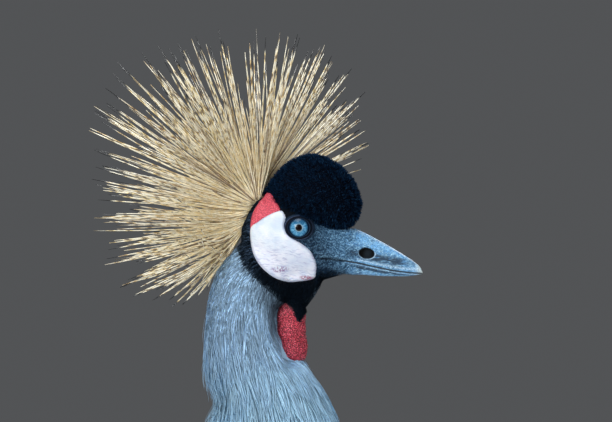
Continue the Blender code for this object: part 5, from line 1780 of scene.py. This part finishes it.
def makeLegs():
    sizes = legSizes
    scaled = legPaint()
    horn = Paint("clawHorn", Roughness=0.35, Specular_IOR_Level=0.5)
    horn.colour(horn.ramp(horn.noise(300.0), ((0.3, (0.006, 0.006, 0.007)), (0.7, (0.035, 0.034, 0.034)))))
    root = floorAt + np.array(sizes["joint"])
    lat, lon = np.meshgrid(np.linspace(0.05, math.pi - 0.05, 16), np.arange(24) * 2 * math.pi / 24, indexing="ij")
    x, y, z = sizes["ball"]
    ball = root + np.array([0, 0, 0.0035])
    ball = tube(ball + np.stack([np.sin(lat) * np.cos(lon) * x, np.sin(lat) * np.sin(lon) * y, np.cos(lat) * z], -1))
    shells = [shell(shin, 60, 28, sizes["depth"]), shell(tarsus, 90, 28, sizes["depth"]), ball]
    shells += [makeToe(root, *toe) for toe in sizes["toes"]]
    claws = [makeClaw(root, *toe, sizes["claw"]) for toe in sizes["toes"]]
    for suffix in ("left", "right"):
        if suffix == "right":
            shells, claws = mirrored(shells), mirrored(claws)
        leg = fuse("leg_" + suffix, shells, sizes["voxel"], 4, scaled)
        places = corners(leg)
        places[:, 2] = np.maximum(places[:, 2], 0.0)
        moveCorners(leg, places)
        settle(leg, "shin_" + suffix, "tarsus_" + suffix, "foot_" + suffix, slot="leg_scales")
        body = makeBody("claws_" + suffix, *joined(claws), horn.material)
        settle(outwards(body), slot="leg_scales")


# Camera, soft studio light and a pale floor
viewSizes = {
    "frameWidth": 0.465,  # metres across the picture at the bird
    "sensor": 36,  # the camera's own width in millimetres
    "distance": 3.0,
    "aim": (0.0054, 0.0126),  # ahead of and above the eye
    "backdrop": (0.085, 0.088, 0.092),
    "lamps": (
        # name, place, size, watts and colour
        ("key", (-1.4, -2.5, 1.9), 1.2, 79, (0.96, 0.985, 1.0)),
        ("fill", (2.3, -2.1, 1.2), 1.8, 33, (0.90, 0.96, 1.0)),
        ("rim", (0.5, 2.0, 2.7), 1.4, 48, (1.0, 0.99, 0.98)),
        ("top", (-0.2, -0.5, 3.2), 1.6, 40, (0.96, 0.985, 1.0)),
    ),
    "lampsAim": (0.15, 0, 0.75),
    "floorHalf": 4.0,
}


def makeStage():
    sizes = viewSizes
    camera = bpy.data.objects.new("camera", bpy.data.cameras.new("camera"))
    scene.collection.objects.link(camera)
    camera.location = (headAt[0] + sizes["aim"][0], -sizes["distance"], headAt[2] + sizes["aim"][1])
    camera.rotation_euler = (math.pi / 2, 0, 0)
    camera.data.lens = sizes["sensor"] * sizes["distance"] / sizes["frameWidth"]
    scene.camera = camera
    for name, place, size, power, colour in sizes["lamps"]:
        light = bpy.data.lights.new(name, "AREA")
        light.size = size
        light.energy = power
        light.color = colour
        lamp = bpy.data.objects.new(name, light)
        lamp.location = place
        lamp.rotation_euler = (Vector(sizes["lampsAim"]) - Vector(place)).to_track_quat("-Z", "Y").to_euler()
        scene.collection.objects.link(lamp)
    world = bpy.data.worlds.new("world")
    world.use_nodes = True
    world.node_tree.nodes["Background"].inputs["Color"].default_value = (*sizes["backdrop"], 1)
    scene.world = world
    scene.view_settings.view_transform = "Standard"
    ground = Paint("floor", Roughness=0.7)
    ground.colour(ground.ramp(ground.noise(3.0), ((0.3, (0.60, 0.60, 0.59)), (0.7, (0.64, 0.64, 0.63)))))
    half = sizes["floorHalf"]
    places = np.array([(-half, -half, 0), (half, -half, 0), (half, half, 0), (-half, half, 0)])
    makeBody("floor", places, [np.array([[0, 1, 2, 3]])], ground.material, smooth=False)


fleshNodes = ("head", "neck_upper", "neck_middle", "neck_lower", "torso", "thigh_left", "thigh_right")
print("skin")
skin = makeSkin(skinPaint())
ground = Ground(skin)
settle(skin, *fleshNodes, slot="face_feathers")
print("cap and crest")
capGround = makeCap()
makeCrest(ground, capGround)
print("bare skin, eyes and lids")
wattleGround = makeBareSkin((ground.tree, capGround.tree))
makeEyes()
makeLids(ground)
print("bill")
hornGrounds = makeBill()
print("feathers")
makeFace(ground, wattleGround, hornGrounds)
makeNeck(ground)
makeBodyCoat(ground)
makeWings()
makeTail()
print("legs and stage")
makeLegs()
makeStage()
